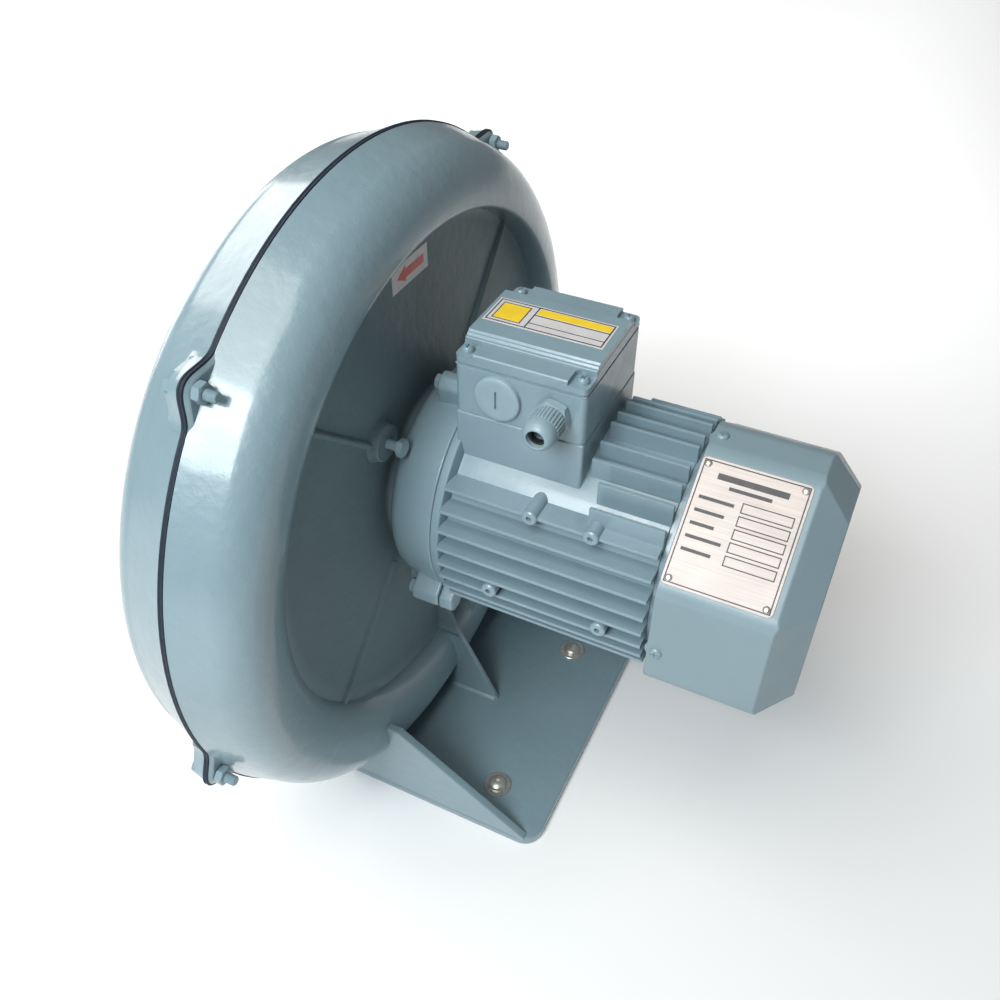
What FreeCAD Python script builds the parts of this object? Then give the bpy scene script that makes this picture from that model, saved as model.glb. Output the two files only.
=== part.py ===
import FreeCAD, Part
import math
import os
import re

import Sketcher

# Centrifugal turbo blower: a two-half cast casing with its foot, an overhung closed impeller,
# and a finned flange motor with terminal box and fan cowl.
# Millimetres. Every piece is drawn about the shaft axis, x = 0 on the casing's split plane,
# and is then placed so that the origin lies on the underside of the foot, midway between its slots.

doc = FreeCAD.newDocument("TurboBlower")
sheet = doc.addObject("Spreadsheet::Sheet", "Sizes")

SIZES = [
    # placing
    ("foot_gap", 14), ("foot_slot_x", 146),
    # casing halves
    ("casing_radius", 284), ("casing_shift", 10), ("casing_wall", 6), ("gasket_thick", 2),
    ("gasket_lip", 0.8),
    ("front_depth", 58), ("front_knee_x", 38), ("front_knee_inset", 13), ("front_face_inset", 36),
    ("shoulder_x", 20), ("shoulder_inset", 6), ("ridge_x", 56), ("ridge_inset", 42), ("ridge_shift", 17),
    ("recess_x", 36), ("recess_inset", 68), ("recess_shift", 2),
    # ears and their bolts
    ("ear_reach", 6), ("ear_radius", 12), ("ear_tip_reach", 3.5), ("ear_thick", 10), ("rear_ear_thick", 4),
    ("ear_root_radius", 26), ("ear_root_inset", 14), ("ear_gusset", 20), ("ear_gusset_radius", 7),
    ("ear_seat_radius", 8.5), ("ear_bolt_radius", 4), ("bolt_clearance", 0.5), ("ear_head_thick", 5.3),
    ("ear_nut_thick", 6.6), ("ear_hex_radius", 7.5), ("ear_bolt_tail", 9), ("thread_fit", 0.05),
    # outlet duct
    ("duct_radius", 52), ("duct_wall", 6), ("duct_reach", 6), ("duct_bore_start", 100), ("collar_radius", 59),
    ("collar_length", 26), ("collar_fit", 0.1), ("outlet_flange_radius", 75), ("outlet_flange_thick", 10),
    ("outlet_pcd_radius", 66), ("outlet_hole_radius", 5.5), ("collar_screw_radius", 3),
    # inlet nozzle
    ("inlet_radius", 70), ("inlet_wall", 6), ("inlet_length", 60), ("inlet_flange_radius", 100),
    ("inlet_flange_thick", 8), ("inlet_pcd_radius", 89), ("inlet_screw_radius", 4), ("eye_gap", 3),
    ("inlet_eye_wall", 3), ("inlet_eye_x", 42), ("inlet_screw_grip", 5.5),
    # web, pad and motor bosses
    ("pad_radius", 70), ("pad_height", 8), ("spigot_radius", 55), ("spigot_fit", 0.05),
    ("web_boss_radius", 15),
    ("motor_pcd_radius", 104), ("motor_bolt_radius", 4), ("motor_bolt_hex", 7.5), ("motor_bolt_head", 5.3),
    ("rib_thick", 4), ("rib_height", 5), ("rib_inner", 92), ("motor_ear_thick", 10), ("motor_ear_radius", 14),
    # foot
    ("foot_length", 204), ("foot_half_width", 134), ("foot_thick", 10), ("foot_corner", 18),
    ("slot_half_spacing", 92.5), ("slot_radius", 6.5), ("slot_length", 26), ("gusset_thick", 8),
    ("gusset_apex_x", 65), ("gusset_rise", 83), ("gusset_end_x", 193), ("mid_gusset_thick", 5),
    ("mid_gusset_end_x", 102), ("mid_gusset_knee_x", 54), ("mid_gusset_rise", 102),
    ("mid_gusset_top_drop", 118),
    ("saddle_thick", 9), ("saddle_rise", 32),
    # impeller
    ("impeller_radius", 222), ("plate_thick", 4), ("plate_x", 14), ("tip_width", 28), ("eye_radius", 66),
    ("eye_bend_radius", 78), ("eye_bend_width", 50), ("eye_width", 60), ("shroud_thick", 3),
    ("blade_count", 12),
    ("blade_thick", 3), ("blade_inner", 82), ("blade_tip_gap", 2), ("blade_seam", 0.1), ("blade_curve", 150),
    ("blade_center_y", 78), ("blade_center_z", -126), ("hub_radius", 30), ("hub_front_x", -10),
    ("hub_flange_radius", 50),
    ("hub_flange_thick", 5), ("hub_rear_gap", 2), ("rivet_radius", 3), ("rivet_pcd_radius", 41),
    ("rivet_head_radius", 5), ("rivet_head_thick", 2), ("end_washer_radius", 20), ("end_washer_thick", 4),
    ("end_bolt_radius", 5), ("end_bolt_hex", 9.2), ("end_bolt_head", 6.4), ("end_bolt_depth", 24),
    # shaft and rotor
    ("shaft_nose_radius", 14), ("shaft_fit", 0.02), ("shaft_nose_x", -8), ("key_width", 8), ("key_height", 7),
    ("key_length", 30), ("key_depth", 4), ("shaft_body_radius", 22), ("shaft_tail_radius", 12),
    ("shaft_tail_x", 326),
    ("rotor_radius", 41), ("air_gap", 0.5), ("core_x", 116), ("core_length", 100), ("seal_thick", 4),
    ("seal_gap", 0.3),
    # bearings
    ("front_bearing_x", 54), ("front_bearing_width", 16), ("front_bearing_bore", 15),
    ("front_bearing_radius", 31),
    ("rear_bearing_x", 250), ("rear_bearing_width", 15), ("rear_bearing_bore", 12.5),
    ("rear_bearing_radius", 26),
    ("race_thick", 4), ("seal_plate", 1.5),
    # motor frame and end shields
    ("shield_face_x", 44), ("shield_end_x", 89), ("shield_radius", 96.5), ("shield_mid_radius", 92.8),
    ("shield_nose_radius", 76), ("shield_wall", 8), ("shield_spigot_depth", 6), ("groove_bevel", 0.8),
    ("lug_radius", 10), ("lug_pcd_radius", 105), ("lug_start_x", 64), ("frame_lug_length", 13),
    ("tie_bolt_radius", 3),
    ("tie_hex_radius", 6.4), ("tie_head_thick", 5), ("core_radius", 87), ("frame_bore", 79),
    ("frame_ring_length", 8),
    ("frame_end_x", 266), ("fin_radius", 101), ("fin_thick", 3.4), ("fin_pitch", 16), ("top_fin_first", 7),
    ("top_fin_second", 27), ("top_fin_pitch", 14.7), ("corner_fin_setback", 11), ("register_depth", 6),
    ("register_fit", 0.05), ("boss_radius", 6.2), ("boss_hole", 2.2), ("upper_boss_x", 168),
    ("upper_boss_spacing", 48), ("upper_boss_z", 56), ("upper_boss_reach", 86), ("lower_boss_x", 143),
    ("lower_boss_spacing", 90), ("lower_boss_drop", 16), ("lower_boss_reach", 103), ("box_relief", 0.5),
    ("stator_fit", 0.05), ("winding_length", 22),
    ("winding_inner", 49), ("winding_outer", 73),
    # terminal box
    ("box_x", 143.5), ("box_half_length", 50.8), ("box_half_width", 53.2), ("box_base_z", 108.5),
    ("box_top_z", 149),
    ("box_wall", 5), ("box_corner", 4), ("lid_gasket_thick", 1), ("lid_thick", 10),
    ("lid_plateau_half", 30.5),
    ("lid_plateau_rise", 5), ("lid_screw_spacing", 44), ("lid_recess_radius", 8), ("lid_recess_depth", 4),
    ("lid_screw_radius", 2.5), ("lid_head_radius", 4.6), ("lid_head_thick", 4.4), ("lid_screw_depth", 14),
    ("screw_post_radius", 6.5), ("plug_x", 127.5), ("plug_z", 129.5), ("plug_radius", 18),
    ("plug_thread_radius", 15.9),
    ("plug_thick", 4), ("thread_gap", 0.1), ("gland_x", 171), ("gland_z", 130), ("gland_thread_radius", 9.9),
    ("gland_hex_radius", 14), ("gland_hex_thick", 8), ("gland_nut_radius", 12.2), ("gland_nut_length", 16),
    ("gland_dome_length", 9), ("gland_dome_radius", 9.4), ("gland_mouth_radius", 6.8), ("cable_radius", 5),
    ("gland_bore_radius", 6), ("wire_hole_radius", 12), ("block_length", 60), ("block_width", 30),
    ("block_height", 14), ("block_shift", 13), ("stud_radius", 2.5), ("stud_height", 10),
    # fan, cowl and nameplate
    ("fan_x", 296), ("fan_hub_radius", 20), ("fan_hub_length", 26), ("fan_plate_radius", 60),
    ("fan_plate_thick", 3),
    ("fan_blade_radius", 84), ("fan_blade_width", 30), ("fan_blade_thick", 3), ("fan_blade_count", 8),
    ("cowl_x", 272), ("cowl_edge_x", 355), ("cowl_end_x", 378), ("cowl_reach", 110),
    ("cowl_side_reach", 103.7),
    ("cowl_top_half", 17), ("cowl_side_half", 47), ("cowl_bevel", 28), ("cowl_wall", 2), ("grille_inner", 14),
    ("grille_slot", 6), ("grille_bar", 5), ("grille_rings", 5), ("grille_spoke", 7), ("cowl_screw_x", 279),
    ("cowl_screw_radius", 3), ("cowl_tap_depth", 14), ("cowl_head_radius", 5.5), ("cowl_head_thick", 2.6),
    ("cowl_lug_radius", 9), ("side_screw_drop", 16),
    ("rear_shield_thick", 7), ("plate_length", 78), ("plate_height", 95), ("nameplate_thick", 0.8),
    ("nameplate_edge", 6), ("nameplate_inset", 0.6), ("plate_rivet_inset", 5), ("plate_rivet_radius", 1.6),
    ("plate_rivet_head", 2.8), ("plate_rivet_rise", 1.2),
]

# Sizes that follow from others: insets lie inside the casing's radius, rises above its lowest point.
DERIVED = {
    "axis_height": "casing_radius + casing_shift + foot_gap",
    "front_knee_radius": "casing_radius - front_knee_inset",
    "front_face_radius": "casing_radius - front_face_inset",
    "shoulder_radius": "casing_radius - shoulder_inset",
    "ridge_radius": "casing_radius - ridge_inset",
    "recess_radius": "casing_radius - recess_inset",
    "duct_drop": "casing_radius - duct_radius",
    "duct_end": "casing_radius + duct_reach",
    "saddle_top_drop": "casing_radius + casing_shift - saddle_rise",
    "gusset_apex_drop": "casing_radius + casing_shift - gusset_rise",
    "mid_gusset_knee_drop": "casing_radius + casing_shift - mid_gusset_rise",
    "inlet_eye_radius": "eye_radius - eye_gap - inlet_eye_wall",
}

for row, (alias, value) in enumerate(SIZES, start=1):
    sheet.set(f"A{row}", alias)
    sheet.set(f"B{row}", str(value))
    sheet.setAlias(f"B{row}", alias)
doc.recompute()

NAMES = {alias for alias, _ in SIZES}
TURNS = {
    "X": FreeCAD.Rotation(FreeCAD.Vector(0, 1, 0), 90),
    "Y": FreeCAD.Rotation(FreeCAD.Vector(1, 0, 0), -90),
    "Z": FreeCAD.Rotation(),
}
EAR_ANGLES = (48, 134, 200, 248, 326)
MOTOR_BOLT_ANGLES = (15, 135, 255)
TIE_ANGLES = (101, 221, 341)
RIB_ANGLES = (48, 138, 221, 318)
BAND_COUNT = 4
nodes = []


def full(text):
    """A size expression with derived sizes written out and each name led by the sheet's."""
    def written_out(match):
        word = match.group(0)
        if word in DERIVED:
            return f"({full(DERIVED[word])})"
        return "Sizes." + word if word in NAMES else word

    return re.sub(r"[a-z][a-z_]+", written_out, str(text))


def value_of(text):
    """The present value of a size expression."""
    return float(sheet.evalExpression(full(text)))


def bind(obj, **properties):
    """Ties each named property to its size expression; a double underscore stands for a dot."""
    for name, text in properties.items():
        obj.setExpression(name.replace("__", "."), full(text))
    return obj


def put(obj, x="0", y="0", z="0", turn=None):
    """Places an object at size expressions, turned first where asked."""
    if turn is not None:
        obj.Placement = FreeCAD.Placement(FreeCAD.Vector(), turn)
    return bind(obj, Placement__Base__x=x, Placement__Base__y=y, Placement__Base__z=z)


def cylinder(name, radius, length, x="0", y="0", z="0", along="X"):
    obj = doc.addObject("Part::Cylinder", name)
    bind(obj, Radius=radius, Height=length)
    return put(obj, x, y, z, TURNS[along])


def cone(name, start_radius, end_radius, length, x="0", y="0", z="0", along="X"):
    obj = doc.addObject("Part::Cone", name)
    bind(obj, Radius1=start_radius, Radius2=end_radius, Height=length)
    return put(obj, x, y, z, TURNS[along])


def hexagon(name, radius, length, x="0", y="0", z="0", along="X"):
    obj = doc.addObject("Part::Prism", name)
    obj.Polygon = 6
    bind(obj, Circumradius=radius, Height=length)
    return put(obj, x, y, z, TURNS[along])


def block(name, length, width, height, x="0", y="0", z="0", turn=None):
    obj = doc.addObject("Part::Box", name)
    bind(obj, Length=length, Width=width, Height=height)
    return put(obj, x, y, z, turn)


def fuse(name, pieces):
    obj = doc.addObject("Part::MultiFuse", name)
    obj.Shapes = pieces
    return obj


def cut(name, base, tools):
    obj = doc.addObject("Part::Cut", name)
    obj.Base = base
    obj.Tool = tools[0] if len(tools) == 1 else fuse(name + "_tools", tools)
    return obj


def group(name, pieces):
    obj = doc.addObject("Part::Compound", name)
    obj.Links = pieces
    return obj


def node(obj, label):
    """Makes an object a finished piece: its label, its place in the whole, and its file."""
    obj.Label = label
    put(obj, x="-foot_slot_x", z="axis_height")
    nodes.append(obj)
    return obj


def polar(radius, angle):
    """Y and Z expressions of a point at an angle about the shaft, from +Y towards +Z."""
    return f"({radius})*cos({angle} deg)", f"({radius})*sin({angle} deg)"


def casing_polar(radius, angle):
    """The same about the casing's own centre, which lies off the shaft."""
    y, z = polar(radius, angle)
    return f"{y}-casing_shift", f"{z}-casing_shift"


def ring_loft(name, stations):
    """A solid through circles square to the shaft: (x, radius, shift of the centre along -Y and -Z)."""
    rings = []
    for index, (x, radius, shift) in enumerate(stations):
        ring = doc.addObject("Part::Circle", f"{name}_ring{index}")
        bind(ring, Radius=radius)
        rings.append(put(ring, x, f"-({shift})", f"-({shift})", TURNS["X"]))
    loft = doc.addObject("Part::Loft", name)
    loft.Sections = rings
    loft.Solid = True
    loft.Ruled = True
    return loft


def new_body(name):
    return doc.addObject("PartDesign::Body", name)


def origin_feature(body, role):
    return next(item for item in body.Origin.OriginFeatures if item.Role == role)


def sketch_on(body, role, offset="0"):
    """A sketch on one of the body's own planes, moved along its normal."""
    sketch = body.newObject("Sketcher::SketchObject", body.Name + "_sketch")
    sketch.AttachmentSupport = [(origin_feature(body, role), "")]
    sketch.MapMode = "FlatFace"
    return bind(sketch, AttachmentOffset__Base__z=offset)


def loop(sketch, points):
    """A closed outline through points given as pairs of size expressions."""
    spots = [FreeCAD.Vector(value_of(x), value_of(y), 0) for x, y in points]
    count = len(spots)
    lines = [sketch.addGeometry(Part.LineSegment(spots[i], spots[(i + 1) % count]),
                                False) for i in range(count)]
    for i, line in enumerate(lines):
        sketch.addConstraint(Sketcher.Constraint("Coincident", line, 2, lines[(i + 1) % count], 1))
    for line, spot, (x, y) in zip(lines, spots, points):
        for kind, value, text in (("DistanceX", spot.x, x), ("DistanceY", spot.y, y)):
            index = sketch.addConstraint(Sketcher.Constraint(kind, -1, 1, line, 1, value))
            sketch.setExpression(f"Constraints[{index}]", full(text))
    return lines


def pad(body, sketch, length, both_sides=False):
    feature = body.newObject("PartDesign::Pad", body.Name + "_pad")
    feature.Profile = sketch
    bind(feature, Length=length)
    feature.Midplane = both_sides
    return feature


def pocket(body, sketch, length, forward=True):
    feature = body.newObject("PartDesign::Pocket", body.Name + "_pocket")
    feature.Profile = sketch
    bind(feature, Length=length)
    feature.Reversed = forward
    return feature


def turned(name, *profiles):
    """A body turned about the shaft: the first outline adds, the others cut. Points are (x, radius)."""
    body = new_body(name)
    for index, points in enumerate(profiles):
        sketch = sketch_on(body, "XZ_Plane")
        loop(sketch, points)
        kind = "PartDesign::Groove" if index else "PartDesign::Revolution"
        feature = body.newObject(kind, f"{name}_turn{index}")
        feature.Profile = sketch
        feature.ReferenceAxis = (sketch, ["H_Axis"])
        feature.Angle = 360
    return body


def around(body, feature, count):
    """Repeats a feature about the shaft."""
    pattern = body.newObject("PartDesign::PolarPattern", body.Name + "_around")
    pattern.Originals = [feature]
    pattern.Axis = (origin_feature(body, "X_Axis"), [""])
    pattern.Angle = 360
    bind(pattern, Occurrences=count)
    body.Tip = pattern
    return pattern


def rounded(body, radius, wanted):
    """Rounds the body's straight edges that the test accepts, by direction and middle point."""
    doc.recompute()
    tip = body.Tip
    names = []
    for index, edge in enumerate(tip.Shape.Edges, start=1):
        if edge.Curve.TypeId != "Part::GeomLine":
            continue
        middle = edge.valueAt((edge.FirstParameter + edge.LastParameter) / 2)
        if wanted(edge.tangentAt(edge.FirstParameter), middle):
            names.append(f"Edge{index}")
    feature = body.newObject("PartDesign::Fillet", body.Name + "_round")
    feature.Base = (tip, names)
    bind(feature, Radius=radius)
    return feature


def upright(direction, middle):
    return abs(direction.z) > 0.99


# The casing: front half with the inlet, rear half with the web and the foot, gasket between them.
def front_stations(inset, start):
    """The front half from the split plane, past its tapered wall, round the corner to the face."""
    wall_end = f"-(front_knee_x - {inset}*0.3)"
    stations = [(start, f"casing_radius - {inset}", "casing_shift"),
                (wall_end, f"front_knee_radius - {inset}", "casing_shift")]
    for band in range(1, BAND_COUNT + 1):
        turn = f"{90 * band / BAND_COUNT} deg"
        x = f"-(front_knee_x - {inset} + (front_depth - front_knee_x)*sin({turn}))"
        radius = f"front_face_radius - {inset} + (front_knee_radius - front_face_radius)*cos({turn})"
        stations.append((x, radius, "casing_shift"))
    return stations


def rear_stations(inset, start):
    """The rear half: wall, shoulder, the scroll's ridge with its own centre, and the rim of the recess."""
    stations = [(start, f"casing_radius - {inset}", "casing_shift")]
    for band in range(BAND_COUNT + 1):
        turn = f"{90 * band / BAND_COUNT} deg"
        x = f"shoulder_x + (ridge_x - shoulder_x - {inset})*sin({turn})"
        radius = f"ridge_radius + (shoulder_radius - ridge_radius - {inset})*cos({turn})"
        shift = f"casing_shift + (ridge_shift - casing_shift)*(1 - cos({turn}))"
        stations.append((x, radius, shift))
    for band in range(1, BAND_COUNT):
        turn = f"{90 * band / (BAND_COUNT - 1)} deg"
        x = f"recess_x - {inset} + (ridge_x - recess_x)*cos({turn})"
        radius = f"ridge_radius - (ridge_radius - recess_radius - {inset})*sin({turn})"
        shift = f"ridge_shift - (ridge_shift - recess_shift)*sin({turn})"
        stations.append((x, radius, shift))
    return stations


def ear_tools(name, x, length, seat_x=None):
    """Bolt holes through every ear, with a flat seat for the head or nut where asked."""
    tools = []
    for angle in EAR_ANGLES:
        y, z = casing_polar("casing_radius + ear_reach", angle)
        tools.append(cylinder(f"{name}_{angle}", "ear_bolt_radius + bolt_clearance", length, x, y, z))
        if seat_x is not None:
            tools.append(cylinder(f"{name}_seat{angle}", "ear_seat_radius", "2*ear_gusset",
                                  seat_x, y, z))
    return tools


def ears(name, outward):
    """Ears on one side of the split plane: tip, broad root, and a gusset that tapers along the wall."""
    pieces = []
    thick = "rear_ear_thick" if outward > 0 else "ear_thick"
    start = "gasket_thick/2" if outward > 0 else f"-(gasket_thick/2 + {thick})"
    for angle in EAR_ANGLES:
        y, z = casing_polar("casing_radius + ear_tip_reach", angle)
        pieces.append(cylinder(f"{name}_tip{angle}", "ear_radius", thick, start, y, z))
        y, z = casing_polar("casing_radius - ear_root_inset", angle)
        pieces.append(cylinder(f"{name}_root{angle}", "ear_root_radius", thick, start, y, z))
        if outward > 0:
            pieces.append(cone(f"{name}_gusset{angle}", "ear_root_radius", "ear_gusset_radius", "ear_gusset",
                               "gasket_thick/2", y, z))
        else:
            pieces.append(cone(f"{name}_gusset{angle}", "ear_gusset_radius", "ear_root_radius", "ear_gusset",
                               "-(gasket_thick/2 + ear_gusset)", y, z))
    return pieces


def half_duct(name, radius, start, end, side):
    """Half of the outlet duct, on one side of the split plane."""
    round_part = cylinder(f"{name}_round", radius, f"({end}) - ({start})", "0", start, "-duct_drop", "Y")
    x = "gasket_thick/2" if side > 0 else f"-(gasket_thick/2 + ({radius}))"
    keep = block(f"{name}_keep", radius, f"({end}) - ({start})", f"2*({radius})", x, start,
                 f"-duct_drop - ({radius})")
    half = doc.addObject("Part::Common", name)
    half.Base = round_part
    half.Tool = keep
    return half


front_outer = ring_loft("front_outer", front_stations("0", "-gasket_thick/2"))
front_inner = ring_loft("front_inner", front_stations("casing_wall", "gasket_thick"))
front_solid = fuse("front_solid", [front_outer, half_duct("front_duct", "duct_radius", "0", "duct_end", -1)]
                   + ears("front_ear", -1))
inlet_hole = cylinder("inlet_hole", "inlet_radius + inlet_wall + bolt_clearance", "front_depth",
                      "-front_depth - casing_wall")
inlet_taps = []
for number in range(6):
    y, z = polar("inlet_pcd_radius", 60 * number)
    inlet_taps.append(cylinder(f"inlet_tap{number}", "inlet_screw_radius", "casing_wall + 2",
                               "-front_depth - 1", y, z))
bore_length = "duct_end - duct_bore_start + 2"
front_bore = cylinder("front_bore", "duct_radius - duct_wall", bore_length, "0", "duct_bore_start",
                      "-duct_drop", "Y")
node(cut("front_casing_cut", front_solid, [front_inner, inlet_hole, front_bore] + inlet_taps
         + ear_tools("front_ear_hole", "-ear_thick*2", "ear_thick*3",
                     "-(ear_thick + gasket_thick/2 + 2*ear_gusset)")), "front_casing")

rear_outer = ring_loft("rear_outer", rear_stations("0", "gasket_thick/2"))
rear_inner = ring_loft("rear_inner", rear_stations("casing_wall", "-gasket_thick"))

foot = new_body("foot_plate")
foot_sketch = sketch_on(foot, "XY_Plane", "-axis_height")
loop(foot_sketch, [("gasket_thick/2", "-foot_half_width"), ("foot_length", "-foot_half_width"),
                   ("foot_length", "foot_half_width"), ("gasket_thick/2", "foot_half_width")])
pad(foot, foot_sketch, "foot_thick")
rounded(foot, "foot_corner",
        lambda direction, middle: upright(direction, middle) and middle.x > value_of("foot_length") / 2)


def gusset(name, middle_y, thick, points):
    """A flat casting rib standing on the foot, square to the Y axis."""
    body = new_body(name)
    sketch = sketch_on(body, "XZ_Plane", f"-({middle_y})")
    loop(sketch, points)
    pad(body, sketch, thick, both_sides=True)
    return body


outer_gusset = [("gasket_thick/2", "-axis_height + foot_thick/2"),
                ("gusset_end_x", "-axis_height + foot_thick/2"),
                ("gusset_end_x", "-axis_height + foot_thick + 1"), ("gusset_apex_x", "-gusset_apex_drop"),
                ("recess_x", "-gusset_apex_drop"), ("gasket_thick/2", "-saddle_top_drop")]
mid_gusset = [("gasket_thick/2", "-axis_height + foot_thick/2"),
              ("mid_gusset_end_x", "-axis_height + foot_thick/2"),
              ("mid_gusset_end_x", "-axis_height + foot_thick + 1"),
              ("mid_gusset_knee_x", "-mid_gusset_knee_drop"),
              ("recess_x + rib_height", "-mid_gusset_top_drop"),
              ("recess_x - casing_wall/2", "-mid_gusset_top_drop"), ("gasket_thick/2", "-saddle_top_drop")]
edge_y = "(foot_half_width - gusset_thick/2)"
foot_pieces = [foot, gusset("near_gusset", f"-{edge_y}", "gusset_thick", outer_gusset),
               gusset("far_gusset", edge_y, "gusset_thick", outer_gusset),
               gusset("middle_gusset", "0", "mid_gusset_thick", mid_gusset),
               block("saddle", "saddle_thick", "2*foot_half_width",
                     "axis_height - saddle_top_drop - foot_thick/2",
                     "gasket_thick/2", "-foot_half_width", "-axis_height + foot_thick/2")]

web_pieces = [cylinder("pad", "pad_radius", "pad_height + casing_wall", "recess_x - casing_wall")]
for angle in MOTOR_BOLT_ANGLES:
    y, z = polar("motor_pcd_radius", angle)
    web_pieces.append(cylinder(f"web_boss{angle}", "web_boss_radius", "pad_height + casing_wall",
                               "recess_x - casing_wall", y, z))
for angle in RIB_ANGLES:
    side_y, side_z = polar("rib_thick/2", angle)
    y, z = polar("rib_inner", angle)
    web_pieces.append(block(f"web_rib{angle}", "rib_height + casing_wall/2", "recess_radius - rib_inner",
                            "rib_thick",
                            "recess_x - casing_wall/2", f"{y} + {side_z}", f"{z} - {side_y}",
                            FreeCAD.Rotation(FreeCAD.Vector(1, 0, 0), angle)))

recess_clear = cylinder("recess_clear", "recess_radius", "recess_x", "recess_x", "-recess_shift",
                        "-recess_shift")
rear_duct = cut("rear_duct_cut", half_duct("rear_duct", "duct_radius", "0", "duct_end", 1), [recess_clear])
rear_solid = fuse("rear_solid", [rear_outer, rear_duct] + ears("rear_ear", 1) + foot_pieces)
rear_shell = cut("rear_shell", rear_solid, [rear_inner])
rear_full = fuse("rear_full", [rear_shell] + web_pieces)
rear_tools = [cylinder("web_bore", "spigot_radius + spigot_fit", "pad_height + casing_wall + 2",
                       "recess_x - casing_wall - 1"),
              cylinder("rear_bore", "duct_radius - duct_wall", bore_length, "0", "duct_bore_start",
                       "-duct_drop", "Y")]
for angle in MOTOR_BOLT_ANGLES:
    y, z = polar("motor_pcd_radius", angle)
    rear_tools.append(cylinder(f"web_tap{angle}", "motor_bolt_radius", "pad_height + casing_wall + 2",
                               "recess_x - casing_wall - 1", y, z))
for side in (-1, 1):
    run = "(slot_length/2 - slot_radius)"
    middle = f"{side}*slot_half_spacing"
    for end in (-1, 1):
        rear_tools.append(cylinder(f"slot_end{side}{end}".replace("-", "m"), "slot_radius", "foot_thick*2",
                                   f"foot_slot_x + {end}*{run}", middle, "-axis_height - foot_thick/2", "Z"))
    rear_tools.append(block(f"slot_mid{side}".replace("-", "m"), f"2*{run}", "2*slot_radius", "foot_thick*2",
                            f"foot_slot_x - {run}", f"{middle} - slot_radius", "-axis_height - foot_thick/2"))
node(cut("rear_casing_cut", rear_full, rear_tools
         + ear_tools("rear_ear_hole", "-ear_thick", "ear_thick*3", "rear_ear_thick + gasket_thick/2")),
         "rear_casing")

gasket_pieces = [cylinder("gasket_disc", "casing_radius + gasket_lip", "gasket_thick", "-gasket_thick/2",
                          "-casing_shift", "-casing_shift"),
                 block("gasket_duct", "gasket_thick", "duct_end", "2*duct_radius", "-gasket_thick/2", "0",
                       "-duct_drop - duct_radius")]
for angle in EAR_ANGLES:
    y, z = casing_polar("casing_radius + ear_tip_reach", angle)
    gasket_pieces.append(cylinder(f"gasket_tip{angle}", "ear_radius + gasket_lip", "gasket_thick",
                                  "-gasket_thick/2", y, z))
    y, z = casing_polar("casing_radius - ear_root_inset", angle)
    gasket_pieces.append(cylinder(f"gasket_root{angle}", "ear_root_radius + gasket_lip", "gasket_thick",
                                  "-gasket_thick/2", y, z))
gasket_tools = [cylinder("gasket_inside", "casing_radius - casing_wall", "gasket_thick*2", "-gasket_thick",
                         "-casing_shift", "-casing_shift"),
                block("gasket_bore", "gasket_thick*2", "duct_end + 2", "2*(duct_radius - duct_wall)",
                      "-gasket_thick", "0", "-duct_drop - duct_radius + duct_wall")]
node(cut("gasket_cut", fuse("gasket_solid", gasket_pieces), gasket_tools
         + ear_tools("gasket_hole", "-gasket_thick", "gasket_thick*2")), "casing_gasket")

# Bolts, nuts and screws.
def hex_bolt(name, radius, hex_radius, head, length, x, y="0", z="0"):
    """A bolt along the shaft; its head lies before x where length is positive, after where negative."""
    forward = not length.startswith("-")
    grip = length.lstrip("-")
    shank = cylinder(f"{name}_shank", radius, f"({grip}) + ({head})/2", f"{x} - ({head})/2" if forward
                     else f"{x} - ({grip})", y, z)
    top = hexagon(f"{name}_head", hex_radius, head, f"{x} - ({head})" if forward else x, y, z)
    return fuse(name, [shank, top])


def washer(name, radius, bore, thick, x, y="0", z="0"):
    return cut(name, cylinder(f"{name}_disc", radius, thick, x, y, z),
               [cylinder(f"{name}_bore", bore, f"({thick})*3", f"{x} - ({thick})", y, z)])


ear_bolts = []
ear_nuts = []
for angle in EAR_ANGLES:
    y, z = casing_polar("casing_radius + ear_reach", angle)
    ear_bolts.append(hex_bolt(f"ear_bolt{angle}", "ear_bolt_radius", "ear_hex_radius", "ear_head_thick",
                              "ear_thick + rear_ear_thick + gasket_thick + ear_nut_thick + ear_bolt_tail",
                              "-(ear_thick + gasket_thick/2)", y, z))
    nut = hexagon(f"ear_nut{angle}_hex", "ear_hex_radius", "ear_nut_thick", "rear_ear_thick + gasket_thick/2",
                  y, z)
    bore = cylinder(f"ear_nut{angle}_bore", "ear_bolt_radius + thread_fit", "ear_nut_thick*3", "0", y, z)
    ear_nuts.append(cut(f"ear_nut{angle}", nut, [bore]))
node(group("ear_bolt_set", ear_bolts), "casing_bolts")
node(group("ear_nut_set", ear_nuts), "casing_nuts")

# Inlet nozzle and outlet collar.
nozzle = turned("nozzle_body", [
    ("-(front_depth + inlet_length)", "inlet_radius"),
    ("-(front_depth + inlet_length)", "inlet_radius + inlet_wall"),
    ("-(front_depth + inlet_flange_thick)", "inlet_radius + inlet_wall"),
    ("-(front_depth + inlet_flange_thick)", "inlet_flange_radius"),
    ("-front_depth", "inlet_flange_radius"),
    ("-front_depth", "inlet_radius + inlet_wall"),
    ("-(front_depth - casing_wall)", "inlet_radius + inlet_wall"),
    ("-(front_depth - casing_wall)", "inlet_eye_radius + inlet_eye_wall"),
    ("-inlet_eye_x", "inlet_eye_radius + inlet_eye_wall"),
    ("-inlet_eye_x", "inlet_eye_radius"),
    ("-(front_depth - casing_wall)", "inlet_eye_radius"),
    ("-(front_depth + inlet_flange_thick)", "inlet_radius")])
nozzle_holes = []
inlet_screws = []
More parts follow.
